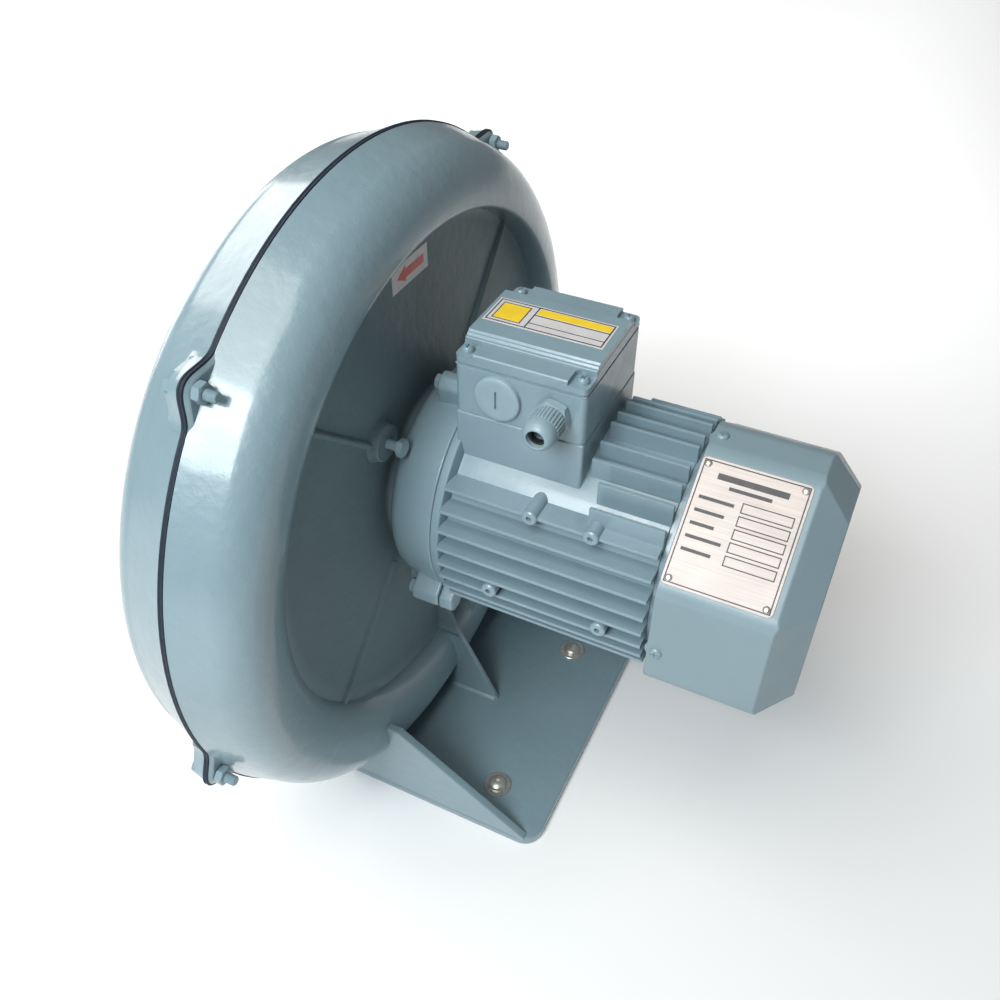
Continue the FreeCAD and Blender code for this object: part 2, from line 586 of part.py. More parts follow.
for number in range(6):
    y, z = polar("inlet_pcd_radius", 60 * number)
    nozzle_holes.append(cylinder(f"nozzle_hole{number}", "inlet_screw_radius + bolt_clearance",
                                 "inlet_flange_thick*3", "-(front_depth + 2*inlet_flange_thick)", y, z))
    inlet_screws.append(hex_bolt(f"inlet_screw{number}", "inlet_screw_radius - thread_fit",
                                 "inlet_screw_radius*1.8", "inlet_screw_radius*1.3",
                                 "inlet_flange_thick + inlet_screw_grip",
                                 "-(front_depth + inlet_flange_thick)", y, z))
node(cut("nozzle_cut", nozzle, nozzle_holes), "inlet_nozzle")
node(group("inlet_screw_set", inlet_screws), "inlet_screws")

collar_start = "(duct_end + outlet_flange_thick/2 - collar_length)"
collar_solid = fuse("collar_solid", [
    cylinder("collar_tube", "collar_radius", "collar_length", "0", collar_start, "-duct_drop", "Y"),
    cylinder("collar_flange", "outlet_flange_radius", "outlet_flange_thick", "0",
             "duct_end - outlet_flange_thick/2", "-duct_drop", "Y")])
collar_tools = [cylinder("collar_socket", "duct_radius + collar_fit", "duct_end - " + collar_start, "0",
                         collar_start, "-duct_drop", "Y"),
                cylinder("collar_mouth", "duct_radius - duct_wall", "collar_length*2", "0", collar_start,
                         "-duct_drop", "Y")]
for number in range(4):
    turn = 45 + 90 * number
    collar_tools.append(cylinder(f"outlet_hole{number}", "outlet_hole_radius", "outlet_flange_thick*3",
                                 f"outlet_pcd_radius*cos({turn} deg)", "duct_end - 1.5*outlet_flange_thick",
                                 f"outlet_pcd_radius*sin({turn} deg) - duct_drop", "Y"))
collar_screws = []
screw_y = f"{collar_start} + (collar_length - outlet_flange_thick)/2"
for side in (-1, 1):
    tip = "(duct_radius + collar_fit)"
    start = tip if side > 0 else "-(collar_radius + 2)"
    length = f"collar_radius + 2 - {tip}"
    tag = "far" if side > 0 else "near"
    tap_start = start if side < 0 else "(duct_radius - duct_wall)"
    collar_tools.append(cylinder(f"collar_tap_{tag}", "collar_screw_radius + thread_fit",
                                 "collar_radius + 2 - duct_radius + duct_wall", tap_start, screw_y,
                                 "-duct_drop"))
    collar_screws.append(cylinder(f"collar_screw_{tag}", "collar_screw_radius", length, start, screw_y,
                                  "-duct_drop"))
node(cut("collar_cut", collar_solid, collar_tools), "outlet_collar")
node(group("collar_screw_set", collar_screws), "collar_screws")

# Impeller: back plate and hub, blades, shroud, rivets, key and end bolt.
back_x = "plate_x"
back_plate = turned("back_plate", [(back_x, "hub_radius + shaft_fit"), (back_x, "impeller_radius"),
                                   ("plate_x + plate_thick", "impeller_radius"),
                                   ("plate_x + plate_thick", "hub_radius + shaft_fit")])

passage = turned("passage", [(back_x, "blade_inner - 20"), (back_x, "impeller_radius"),
                             ("plate_x - tip_width + blade_seam", "impeller_radius"),
                             ("plate_x - eye_bend_width + blade_seam", "eye_bend_radius"),
                             ("plate_x - eye_width + blade_seam", "eye_radius"),
                             ("plate_x - eye_width + blade_seam", "blade_inner - 20")])


def blade_outline(sketch):
    """One blade between two arcs about the same centre, from the eye circle to the tip circle."""
    center = FreeCAD.Vector(value_of("blade_center_y"), value_of("blade_center_z"), 0)
    normal = FreeCAD.Vector(0, 0, 1)
    limits = ("blade_inner", "impeller_radius - blade_tip_gap")
    circles = []
    for limit in limits:
        circle = sketch.addGeometry(Part.Circle(FreeCAD.Vector(), normal, value_of(limit)), True)
        sketch.addConstraint(Sketcher.Constraint("Coincident", circle, 3, -1, 1))
        index = sketch.addConstraint(Sketcher.Constraint("Radius", circle, value_of(limit)))
        sketch.setExpression(f"Constraints[{index}]", full(limit))
        circles.append(circle)
    arcs = []
    for extra in ("0", "blade_thick"):
        curve = value_of(f"blade_curve + {extra}")
        ends = []
        for limit in limits:
            reach = value_of(limit)
            far = center.Length
            along = (reach ** 2 - curve ** 2 + far ** 2) / (2 * far)
            across = math.sqrt(reach ** 2 - along ** 2)
            unit = FreeCAD.Vector(center).normalize()
            ends.append(unit * along + FreeCAD.Vector(-unit.y, unit.x, 0) * across)
        angles = [math.atan2(end.y - center.y, end.x - center.x) for end in ends]
        first, last = min(angles), max(angles)
        arc = sketch.addGeometry(Part.ArcOfCircle(Part.Circle(center, normal, curve), first, last), False)
        index = sketch.addConstraint(Sketcher.Constraint("Radius", arc, curve))
        sketch.setExpression(f"Constraints[{index}]", full(f"blade_curve + {extra}"))
        order = (0, 1) if angles[0] < angles[1] else (1, 0)
        for end, which in enumerate(order, start=1):
            sketch.addConstraint(Sketcher.Constraint("PointOnObject", arc, end, circles[which]))
        arcs.append(arc)
    for kind, value, text in (("DistanceX", center.x, "blade_center_y"),
                              ("DistanceY", center.y, "blade_center_z")):
        index = sketch.addConstraint(Sketcher.Constraint(kind, -1, 1, arcs[0], 3, value))
        sketch.setExpression(f"Constraints[{index}]", full(text))
    sketch.addConstraint(Sketcher.Constraint("Coincident", arcs[0], 3, arcs[1], 3))
    for end in (1, 2):
        spots = [sketch.getPoint(arc, end) for arc in arcs]
        line = sketch.addGeometry(Part.LineSegment(*spots), False)
        for place, arc in enumerate(arcs, start=1):
            sketch.addConstraint(Sketcher.Constraint("Coincident", line, place, arc, end))


blades = new_body("blade_set")
blade_sketch = sketch_on(blades, "YZ_Plane", "plate_x - eye_width")
blade_outline(blade_sketch)
around(blades, pad(blades, blade_sketch, "eye_width"), "blade_count")
trimmed = doc.addObject("Part::Common", "blades_trimmed")
trimmed.Base = blades
trimmed.Tool = passage
node(trimmed, "impeller_blades")

node(turned("shroud", [("plate_x - tip_width", "impeller_radius"),
                       ("plate_x - eye_bend_width", "eye_bend_radius"), ("plate_x - eye_width", "eye_radius"),
                       ("plate_x - eye_width - shroud_thick", "eye_radius"),
                       ("plate_x - eye_bend_width - shroud_thick", "eye_bend_radius + shroud_thick/2"),
                       ("plate_x - tip_width - shroud_thick", "impeller_radius")]), "impeller_shroud")

hub_end = "(recess_x - casing_wall - hub_rear_gap)"
hub = turned("hub", [("hub_front_x", "shaft_nose_radius + shaft_fit"), ("hub_front_x", "hub_radius"),
                     ("plate_x + plate_thick", "hub_radius"), ("plate_x + plate_thick", "hub_flange_radius"),
                     ("plate_x + plate_thick + hub_flange_thick", "hub_flange_radius"),
                     ("plate_x + plate_thick + hub_flange_thick", "hub_radius"), (hub_end, "hub_radius"),
                     (hub_end, "shaft_nose_radius + shaft_fit")])


def key_block(name, gap):
    """The key, or the slot for it, on top of the shaft's nose."""
    return block(name, f"key_length + 2*({gap})", f"key_width + 2*({gap})", f"key_height + ({gap})",
                 f"hub_front_x + hub_radius/4 - ({gap})", f"-key_width/2 - ({gap})",
                 "shaft_nose_radius - key_depth")


rivets = []
for number in range(6):
    y, z = polar("rivet_pcd_radius", 60 * number + 30)
    shank = cylinder(f"rivet_shank{number}", "rivet_radius - shaft_fit", "plate_thick + hub_flange_thick",
                     back_x, y, z)
    head = cylinder(f"rivet_head{number}", "rivet_head_radius", "rivet_head_thick",
                    f"{back_x} - rivet_head_thick",
                    y, z)
    rivets.append(fuse(f"rivet{number}", [shank, head]))
rivet_holes = [cylinder(f"rivet_hole{number}", "rivet_radius", "hub_flange_thick*6", "0",
                        *polar("rivet_pcd_radius", 60 * number + 30)) for number in range(6)]
node(cut("back_plate_cut", back_plate, rivet_holes), "impeller_back_plate")
node(cut("hub_cut", hub, [key_block("hub_key_slot", "0")] + rivet_holes), "impeller_hub")
node(group("rivet_set", rivets), "impeller_rivets")
node(group("key_set", [key_block("key", "0")]), "impeller_key")
node(washer("end_washer", "end_washer_radius", "end_bolt_radius + bolt_clearance", "end_washer_thick",
            "hub_front_x - end_washer_thick"), "impeller_washer")
node(hex_bolt("end_bolt", "end_bolt_radius", "end_bolt_hex", "end_bolt_head",
              "end_washer_thick + end_bolt_depth", "hub_front_x - end_washer_thick"), "impeller_bolt")

# Shaft, rotor and bearings.
front_end = "(front_bearing_x + front_bearing_width)"
rear_end = "(rear_bearing_x + rear_bearing_width)"
shaft = turned("shaft_body", [
    ("shaft_nose_x", "0"), ("shaft_nose_x", "shaft_nose_radius - 1"),
    ("shaft_nose_x + 1", "shaft_nose_radius"),
    ("front_bearing_x", "shaft_nose_radius"), ("front_bearing_x", "front_bearing_bore"),
    (front_end, "front_bearing_bore"), (front_end, "shaft_body_radius"),
    ("rear_bearing_x", "shaft_body_radius"),
    ("rear_bearing_x", "rear_bearing_bore"), (rear_end, "rear_bearing_bore"), (rear_end, "shaft_tail_radius"),
    ("shaft_tail_x - 1", "shaft_tail_radius"), ("shaft_tail_x", "shaft_tail_radius - 1"),
    ("shaft_tail_x", "0")])
end_tap = cylinder("end_tap", "end_bolt_radius + thread_fit", "end_bolt_depth + 4", "shaft_nose_x - 1")
node(cut("shaft_cut", shaft, [key_block("shaft_key_slot", "0"), end_tap]), "shaft")
node(washer("rotor_stack", "rotor_radius", "shaft_body_radius + shaft_fit", "core_length", "core_x"),
     "rotor_core")


def bearing(name, x, width, bore, radius):
    """Inner race alone; outer race with its two cover plates."""
    inner = turned(f"{name}_inner", [(x, f"{bore} + shaft_fit"), (x, f"{bore} + race_thick"),
                                     (f"{x} + {width}", f"{bore} + race_thick"),
                                     (f"{x} + {width}", f"{bore} + shaft_fit")])
    lip = f"{bore} + race_thick + seal_gap"
    outer = turned(f"{name}_outer", [
        (x, lip), (x, f"{radius} - shaft_fit"), (f"{x} + {width}", f"{radius} - shaft_fit"),
        (f"{x} + {width}", lip),
        (f"{x} + {width} - seal_plate", lip), (f"{x} + {width} - seal_plate", f"{radius} - race_thick"),
        (f"{x} + seal_plate", f"{radius} - race_thick"), (f"{x} + seal_plate", lip)])
    return inner, outer


front_races = bearing("front_bearing", "front_bearing_x", "front_bearing_width", "front_bearing_bore",
                      "front_bearing_radius")
rear_races = bearing("rear_bearing", "rear_bearing_x", "rear_bearing_width", "rear_bearing_bore",
                     "rear_bearing_radius")
node(group("inner_race_set", [front_races[0], rear_races[0]]), "bearing_inner_races")
node(group("outer_race_set", [front_races[1], rear_races[1]]), "bearing_outer_races")

# End shields, stator and motor frame.
shield_turned = turned("shield_turned", [
    ("shield_face_x - shield_spigot_depth", "front_bearing_radius - race_thick"),
    ("shield_face_x - shield_spigot_depth", "spigot_radius"), ("shield_face_x", "spigot_radius"),
    ("shield_face_x", "shield_nose_radius"), ("shield_face_x + 3", "shield_nose_radius + 8"),
    ("shield_face_x + 8", "shield_nose_radius + 14"), ("shield_face_x + 16", "shield_mid_radius"),
    ("shield_end_x - groove_bevel", "shield_radius"), ("shield_end_x", "shield_radius - groove_bevel"),
    ("shield_end_x", "frame_bore - register_fit"),
    ("shield_end_x + register_depth", "frame_bore - register_fit"),
    ("shield_end_x + register_depth", "frame_bore - shield_wall/2"),
    ("shield_face_x + 2*shield_wall", "frame_bore - shield_wall/2"),
    ("shield_face_x + shield_wall", "shield_nose_radius - shield_wall"),
    ("shield_face_x + shield_wall", "front_bearing_radius + shield_wall"),
    (f"{front_end} + 2", "front_bearing_radius + shield_wall - 1"),
    (f"{front_end} + 2", "front_bearing_radius"),
    ("front_bearing_x", "front_bearing_radius"), ("front_bearing_x", "front_bearing_radius - race_thick")])
shield_parts = [shield_turned]
shield_tools = []
motor_bolts = []
for angle in MOTOR_BOLT_ANGLES:
    y, z = polar("motor_pcd_radius", angle)
    shield_parts.append(cylinder(f"shield_ear{angle}", "motor_ear_radius", "motor_ear_thick", "shield_face_x",
                                 y, z))
    side_y, side_z = polar("motor_ear_radius", angle)
    y, z = polar("shield_nose_radius - shield_wall/2", angle)
    shield_parts.append(block(f"shield_arm{angle}", "motor_ear_thick",
                              "motor_pcd_radius - shield_nose_radius + shield_wall/2", "2*motor_ear_radius",
                              "shield_face_x", f"{y} + {side_z}", f"{z} - {side_y}",
                              FreeCAD.Rotation(FreeCAD.Vector(1, 0, 0), angle)))
    y, z = polar("motor_pcd_radius", angle)
    shield_tools.append(cylinder(f"shield_ear_hole{angle}", "motor_bolt_radius + bolt_clearance",
                                 "motor_ear_thick*3", "shield_face_x - motor_ear_thick", y, z))
    motor_bolts.append(hex_bolt(f"motor_bolt{angle}", "motor_bolt_radius - thread_fit", "motor_bolt_hex",
                                "motor_bolt_head", "-(motor_ear_thick + pad_height + casing_wall - 2)",
                                "shield_face_x + motor_ear_thick", y, z))
tie_bolts = []
frame_lugs = []
for angle in TIE_ANGLES:
    y, z = polar("lug_pcd_radius", angle)
    shield_parts.append(cylinder(f"shield_lug{angle}", "lug_radius", "shield_end_x - lug_start_x",
                                 "lug_start_x",
                                 y, z))
    frame_lugs.append(cylinder(f"frame_lug{angle}", "lug_radius", "frame_lug_length", "shield_end_x", y, z))
    side_y, side_z = polar("lug_radius", angle)
    y, z = polar("frame_bore + shield_wall/2", angle)
    for tag, x, length, parts in (("shield", "lug_start_x", "shield_end_x - lug_start_x", shield_parts),
                                  ("frame", "shield_end_x", "frame_lug_length", frame_lugs)):
        parts.append(block(f"{tag}_lug_root{angle}", length, "lug_pcd_radius - frame_bore - shield_wall/2",
                           "2*lug_radius", x, f"{y} + {side_z}", f"{z} - {side_y}",
                           FreeCAD.Rotation(FreeCAD.Vector(1, 0, 0), angle)))
    y, z = polar("lug_pcd_radius", angle)
    shield_tools.append(cylinder(f"shield_tie_hole{angle}", "tie_bolt_radius + bolt_clearance",
                                 "shield_end_x", "shield_face_x", y, z))
    tie_bolts.append(hex_bolt(f"tie_bolt{angle}", "tie_bolt_radius - thread_fit", "tie_hex_radius",
                              "tie_head_thick", "shield_end_x - lug_start_x + frame_lug_length - 2",
                              "lug_start_x", y, z))
node(cut("drive_shield_cut", fuse("drive_shield_solid", shield_parts), shield_tools), "drive_end_shield")
node(group("motor_bolt_set", motor_bolts), "motor_bolts")
node(group("tie_bolt_set", tie_bolts), "tie_bolts")
node(washer("seal_disc", "spigot_radius", "shaft_nose_radius + seal_gap", "seal_thick",
            "shield_face_x - shield_spigot_depth - seal_thick"), "shaft_seal")

node(washer("stator_stack", "frame_bore - stator_fit", "rotor_radius + air_gap", "core_length", "core_x"),
     "stator_core")
node(group("winding_set", [
    washer("front_winding", "winding_outer", "winding_inner", "winding_length", "core_x - winding_length"),
    washer("rear_winding", "winding_outer", "winding_inner", "winding_length", "core_x + core_length")]),
    "windings")

fin_start = "(shield_end_x + frame_ring_length)"
fin_length = f"(frame_end_x - {fin_start})"
frame_parts = [
    cylinder("frame_tube", "core_radius", "frame_end_x - shield_end_x", "shield_end_x"),
    cylinder("frame_ring", "shield_radius", "frame_ring_length - groove_bevel",
             "shield_end_x + groove_bevel"),
    cone("frame_ring_edge", "shield_radius - groove_bevel", "shield_radius", "groove_bevel", "shield_end_x"),
    block("pedestal", "2*box_half_length", "2*box_half_width", "box_base_z - core_radius/2",
          "box_x - box_half_length", "-box_half_width", "core_radius/2")] + frame_lugs
for row in range(-4, 4):
    height = f"({row}.5*fin_pitch)" if row >= 0 else f"(-{-row - 1}.5*fin_pitch)"
    tip = f"sqrt(fin_radius*fin_radius - {height}*{height})"
    frame_parts.append(block(f"side_fin{row + 4}", fin_length, f"2*{tip}", "fin_thick", fin_start, f"-{tip}",
                             f"{height} - fin_thick/2"))
for row in range(-3, 4):
    place = f"({row}*fin_pitch)"
    tip = f"sqrt(fin_radius*fin_radius - {place}*{place})"
    frame_parts.append(block(f"low_fin{row + 3}", fin_length, "fin_thick", tip, fin_start,
                             f"{place} - fin_thick/2", f"-{tip}"))

# The upright fins behind the box; those beyond its sides start further back.
behind_box = "(box_x + box_half_length + fin_thick)"
fin_places = ["top_fin_first"] + [f"(top_fin_second + {row}*top_fin_pitch)" for row in range(4)]
for row, place in enumerate(fin_places):
    tip = f"sqrt(fin_radius*fin_radius - {place}*{place})"
    start = behind_box if row < 3 else f"({behind_box} + corner_fin_setback)"
    for tag, sign in (("near", "-"), ("far", "")):
        frame_parts.append(block(f"top_fin_{tag}{row}", f"frame_end_x - {start}", "fin_thick", tip, start,
                                 f"{sign}{place} - fin_thick/2", "0"))

frame_tools = [cylinder("frame_bore_cut", "frame_bore", "frame_end_x", "shield_end_x - 1"),
               block("pedestal_well", "2*(box_half_length - box_wall)", "2*(box_half_width - box_wall)",
                     "box_base_z - core_radius", "box_x - box_half_length + box_wall",
                     "-box_half_width + box_wall", "core_radius + box_wall"),
               cylinder("wire_hole", "wire_hole_radius", "box_base_z", "box_x", "0", "0", "Z"),
               block("box_seat", "2*(box_half_length + box_relief)", "2*(box_half_width + box_relief)",
                     "box_top_z - box_base_z", "box_x - box_half_length - box_relief",
                     "-box_half_width - box_relief", "box_base_z")]
for number, (x, z, reach) in enumerate((("upper_boss_x", "upper_boss_z", "upper_boss_reach"),
                                        ("upper_boss_x + upper_boss_spacing", "upper_boss_z",
                                         "upper_boss_reach"),
                                        ("lower_boss_x", "-lower_boss_drop", "lower_boss_reach"),
                                        ("lower_boss_x + lower_boss_spacing", "-lower_boss_drop",
                                         "lower_boss_reach"))):
    for tag, start, mouth in (("near", f"-{reach}", f"-{reach} - 1"), ("far", "0", f"{reach} - boss_radius")):
        frame_parts.append(cylinder(f"foot_boss_{tag}{number}", "boss_radius", reach, x, start, z, "Y"))
        frame_tools.append(cylinder(f"foot_boss_hole_{tag}{number}", "boss_hole", "boss_radius + 1", x, mouth,
                                    z, "Y"))
for angle in TIE_ANGLES:
    y, z = polar("lug_pcd_radius", angle)
    frame_tools.append(cylinder(f"frame_tie_hole{angle}", "tie_bolt_radius", "frame_lug_length + 2",
                                "shield_end_x - 1", y, z))
node(cut("frame_cut", fuse("frame_solid", frame_parts), frame_tools), "motor_frame")

rear_shield = turned("rear_shield", [
    ("frame_end_x - register_depth", "frame_bore - shield_wall/2"),
    ("frame_end_x - register_depth", "frame_bore - register_fit"),
    ("frame_end_x", "frame_bore - register_fit"),
    ("frame_end_x", "core_radius"), ("frame_end_x + rear_shield_thick", "core_radius"),
    (f"{rear_end} + 2*rear_shield_thick", "rear_bearing_radius + rear_shield_thick"),
    (f"{rear_end} + 2*rear_shield_thick", "shaft_tail_radius + seal_gap"),
    (rear_end, "shaft_tail_radius + seal_gap"), (rear_end, "rear_bearing_radius"),
    ("rear_bearing_x - 1", "rear_bearing_radius"),
    ("rear_bearing_x - 1", "rear_bearing_radius + rear_shield_thick"),
    ("frame_end_x", "rear_bearing_radius + 2*rear_shield_thick"),
    ("frame_end_x", "frame_bore - shield_wall/2")])

COWL_SCREWS = (
    ("top", "0", "cowl_reach", TURNS["Z"], 0, 1),
    ("near", "-cowl_side_reach", "-side_screw_drop", FreeCAD.Rotation(FreeCAD.Vector(1, 0, 0), 90), -1, 0),
    ("far", "cowl_side_reach", "-side_screw_drop", TURNS["Y"], 1, 0),
    ("low", "0", "-cowl_reach", FreeCAD.Rotation(FreeCAD.Vector(1, 0, 0), 180), 0, -1),
)


def radial_cylinder(name, spec, radius, start, length):
    """A cylinder square to the cowl's flat at one of its screws; start is measured from the flat, outwards."""
    _, y, z, turn, out_y, out_z = spec
    obj = doc.addObject("Part::Cylinder", name)
    bind(obj, Radius=radius, Height=length)
    return put(obj, "cowl_screw_x", f"{y} + {out_y}*({start})", f"{z} + {out_z}*({start})", turn)


rear_parts = [rear_shield]
rear_shield_tools = []
cowl_screws = []
cowl_holes = []
for spec in COWL_SCREWS:
    tag = spec[0]
    rear_parts.append(radial_cylinder(f"cowl_lug_{tag}", spec, "cowl_lug_radius",
                                      "-cowl_wall - (cowl_reach - core_radius) - cowl_lug_radius",
                                      "cowl_reach - core_radius + cowl_lug_radius"))
    rear_shield_tools.append(radial_cylinder(f"cowl_tap_{tag}", spec, "cowl_screw_radius",
                                             "-cowl_wall - cowl_tap_depth", "cowl_tap_depth + 1"))
    cowl_holes.append(radial_cylinder(f"cowl_hole_{tag}", spec, "cowl_screw_radius + thread_gap",
                                      "-2*cowl_wall",
                                      "4*cowl_wall"))
    cowl_screws.append(fuse(f"cowl_screw_{tag}", [
        radial_cylinder(f"cowl_shank_{tag}", spec, "cowl_screw_radius - thread_fit",
                        "-cowl_wall - cowl_tap_depth + 2", "cowl_wall + cowl_tap_depth - 2"),
        radial_cylinder(f"cowl_head_{tag}", spec, "cowl_head_radius", "0", "cowl_head_thick")]))
node(cut("rear_shield_cut", fuse("rear_shield_solid", rear_parts), rear_shield_tools), "rear_end_shield")

# Terminal box, its lid, plug and cable gland.
def box_outline(sketch, inset="0"):
    """The box's rectangle, seen from above."""
    loop(sketch, [(f"box_x - box_half_length + {inset}", f"-box_half_width + {inset}"),
                  (f"box_x + box_half_length - {inset}", f"-box_half_width + {inset}"),
                  (f"box_x + box_half_length - {inset}", f"box_half_width - {inset}"),
                  (f"box_x - box_half_length + {inset}", f"box_half_width - {inset}")])


def lid_corners(name, radius, length, z):
    """A cylinder at each lid screw."""
    return [cylinder(f"{name}{sx}{sy}".replace("-", "m"), radius, length, f"box_x + {sx}*lid_screw_spacing",
                     f"{sy}*lid_screw_spacing", z, "Z") for sx in (-1, 1) for sy in (-1, 1)]


box_shell = new_body("box_shell")
box_sketch = sketch_on(box_shell, "XY_Plane", "box_base_z")
box_outline(box_sketch)
pad(box_shell, box_sketch, "box_top_z - box_base_z")
rounded(box_shell, "box_corner", upright)
well_sketch = sketch_on(box_shell, "XY_Plane", "box_base_z + box_wall")
box_outline(well_sketch, "box_wall")
pocket(box_shell, well_sketch, "box_top_z - box_base_z")
box_full = fuse("box_full", [box_shell] + lid_corners("screw_post", "screw_post_radius",
                                                      "box_top_z - box_base_z - box_wall/2",
                                                      "box_base_z + box_wall/2"))
box_tools = lid_corners("post_tap", "lid_screw_radius", "lid_screw_depth + 4",
                        "box_top_z - lid_screw_depth") + [
    cylinder("box_wire_hole", "wire_hole_radius", "box_wall*3", "box_x", "0", "box_base_z - box_wall", "Z"),
    cylinder("plug_hole", "plug_thread_radius + thread_gap", "box_wall*3", "plug_x",
             "-box_half_width - box_wall", "plug_z", "Y"),
    cylinder("gland_hole", "gland_thread_radius + thread_gap", "box_wall*3", "gland_x",
             "-box_half_width - box_wall", "gland_z", "Y")]
node(cut("box_cut", box_full, box_tools), "terminal_box")

lid_seal = new_body("lid_seal")
seal_sketch = sketch_on(lid_seal, "XY_Plane", "box_top_z")
box_outline(seal_sketch, "box_corner/2")
box_outline(seal_sketch, "box_wall")
pad(lid_seal, seal_sketch, "lid_gasket_thick")
node(cut("lid_seal_cut", lid_seal, lid_corners("seal_hole", "lid_screw_radius + thread_gap",
                                               "lid_gasket_thick*3",
                                                "box_top_z - lid_gasket_thick")), "lid_gasket")

lid = new_body("lid_body")
lid_sketch = sketch_on(lid, "XY_Plane", "box_top_z + lid_gasket_thick")
box_outline(lid_sketch)
pad(lid, lid_sketch, "lid_thick")
plateau_sketch = sketch_on(lid, "YZ_Plane", "box_x - box_half_length")
lid_top = "(box_top_z + lid_gasket_thick + lid_thick)"
loop(plateau_sketch, [("-(lid_plateau_half + lid_plateau_rise)", lid_top),
                      ("lid_plateau_half + lid_plateau_rise", lid_top),
                      ("lid_plateau_half + lid_plateau_rise", f"{lid_top} + lid_plateau_rise*0.3"),
                      ("lid_plateau_half", f"{lid_top} + lid_plateau_rise*0.4"),
                      ("lid_plateau_half - lid_plateau_rise*0.4", f"{lid_top} + lid_plateau_rise"),
                      ("-(lid_plateau_half - lid_plateau_rise*0.4)", f"{lid_top} + lid_plateau_rise"),
                      ("-lid_plateau_half", f"{lid_top} + lid_plateau_rise*0.4"),
                      ("-(lid_plateau_half + lid_plateau_rise)", f"{lid_top} + lid_plateau_rise*0.3")])
pad(lid, plateau_sketch, "2*box_half_length")
rounded(lid, "box_corner", lambda direction, middle: upright(direction, middle)
        and abs(middle.y) > value_of("box_half_width") - 1)
lid_hollow_sketch = sketch_on(lid, "XY_Plane", "box_top_z + lid_gasket_thick")
loop(lid_hollow_sketch, [("box_x - box_half_length + box_wall", "-lid_plateau_half"),
                         ("box_x + box_half_length - box_wall", "-lid_plateau_half"),
                         ("box_x + box_half_length - box_wall", "lid_plateau_half"),
                         ("box_x - box_half_length + box_wall", "lid_plateau_half")])
pocket(lid, lid_hollow_sketch, "lid_thick - box_wall/2")
lid_tools = lid_corners("lid_recess", "lid_recess_radius", "lid_recess_depth*4",
                        f"{lid_top} - lid_recess_depth") \
    + lid_corners("lid_hole", "lid_screw_radius + thread_gap", "lid_thick*2", "box_top_z")
node(cut("lid_cut", lid, lid_tools), "terminal_lid")

seat = f"{lid_top} - lid_recess_depth"
screws = []
for head, shank in zip(lid_corners("lid_head", "lid_head_radius", "lid_head_thick", seat),
                       lid_corners("lid_shank", "lid_screw_radius - thread_fit",
                                   f"{lid_top} - lid_recess_depth - box_top_z + lid_screw_depth - 2",
                                   "box_top_z - lid_screw_depth + 2")):
    screws.append(fuse(f"{head.Name}_screw", [head, shank]))
node(group("lid_screw_set", screws), "lid_screws")

floor_z = "box_base_z + box_wall"
studs = []
for row in range(2):
    for column in range(3):
        studs.append(cylinder(f"stud{row}{column}", "stud_radius", "stud_height",
                              f"box_x + {column - 1}*block_length/3",
                              f"block_shift + block_width/2 + {2 * row - 1}*block_width/4",
                              f"{floor_z} + block_height", "Z"))
node(group("block_set", [block("block_body", "block_length", "block_width", "block_height",
                               "box_x - block_length/2", "block_shift", floor_z)]), "terminal_block")
node(group("stud_set", studs), "terminal_studs")

face_y = "-box_half_width"
plug = cut("plug_cut", fuse("plug_solid", [
    cylinder("plug_disc", "plug_radius", "plug_thick", "plug_x", f"{face_y} - plug_thick", "plug_z", "Y"),
    cylinder("plug_thread", "plug_thread_radius", "box_wall + plug_thick/2", "plug_x",
             f"{face_y} - plug_thick/2", "plug_z", "Y")]),
    [block("plug_slot", "plug_thick/2", "plug_thick", "plug_radius*0.8", "plug_x - plug_thick/4",
           f"{face_y} - plug_thick*1.6", "plug_z - plug_radius*0.4")])
node(plug, "blank_plug")

hex_end = f"{face_y} - gland_hex_thick"
nut_end = f"{hex_end} - gland_nut_length"
gland_body = cut("gland_body_cut", fuse("gland_body_solid", [
    hexagon("gland_hex", "gland_hex_radius", "gland_hex_thick", "gland_x", hex_end, "gland_z", "Y"),
    cylinder("gland_thread", "gland_thread_radius", "box_wall + gland_hex_thick/2 + 3", "gland_x",
             f"{face_y} - gland_hex_thick/2", "gland_z", "Y"),
    cylinder("gland_barrel", "gland_thread_radius - 1", "gland_nut_length", "gland_x", nut_end, "gland_z",
             "Y")]),
    [cylinder("gland_body_bore", "gland_bore_radius", "gland_nut_length*4", "gland_x",
              f"{nut_end} - 1", "gland_z", "Y")])
node(gland_body, "gland_body")
dome = cone("gland_dome", "gland_dome_radius", "gland_nut_radius", "gland_dome_length", "gland_x",
            f"{nut_end} - gland_dome_length", "gland_z", "Y")
grip = cylinder("gland_grip", "gland_nut_radius", "gland_nut_length", "gland_x", nut_end, "gland_z", "Y")
node(cut("gland_nut_cut", fuse("gland_nut_solid", [dome, grip]), [
    cylinder("gland_nut_bore", "gland_thread_radius - 1 + thread_gap", "gland_nut_length*2", "gland_x",
             nut_end,
             "gland_z", "Y"),
    cylinder("gland_seat", "gland_dome_radius - 1", "gland_dome_length/2 + 0.1", "gland_x",
             f"{nut_end} - gland_dome_length/2", "gland_z", "Y"),
    cylinder("gland_mouth", "gland_mouth_radius", "gland_dome_length*3", "gland_x",
             f"{nut_end} - gland_dome_length*2", "gland_z", "Y")]), "gland_nut")
gland_seal = cut("gland_seal_cut", cylinder("gland_seal_disc", "gland_dome_radius - 1 - thread_gap",
                                            "gland_dome_length/2", "gland_x",
                                            f"{nut_end} - gland_dome_length/2", "gland_z", "Y"),
                 [cylinder("gland_seal_bore", "cable_radius", "gland_dome_length*2", "gland_x",
                           f"{nut_end} - gland_dome_length", "gland_z", "Y")])
node(gland_seal, "gland_seal")

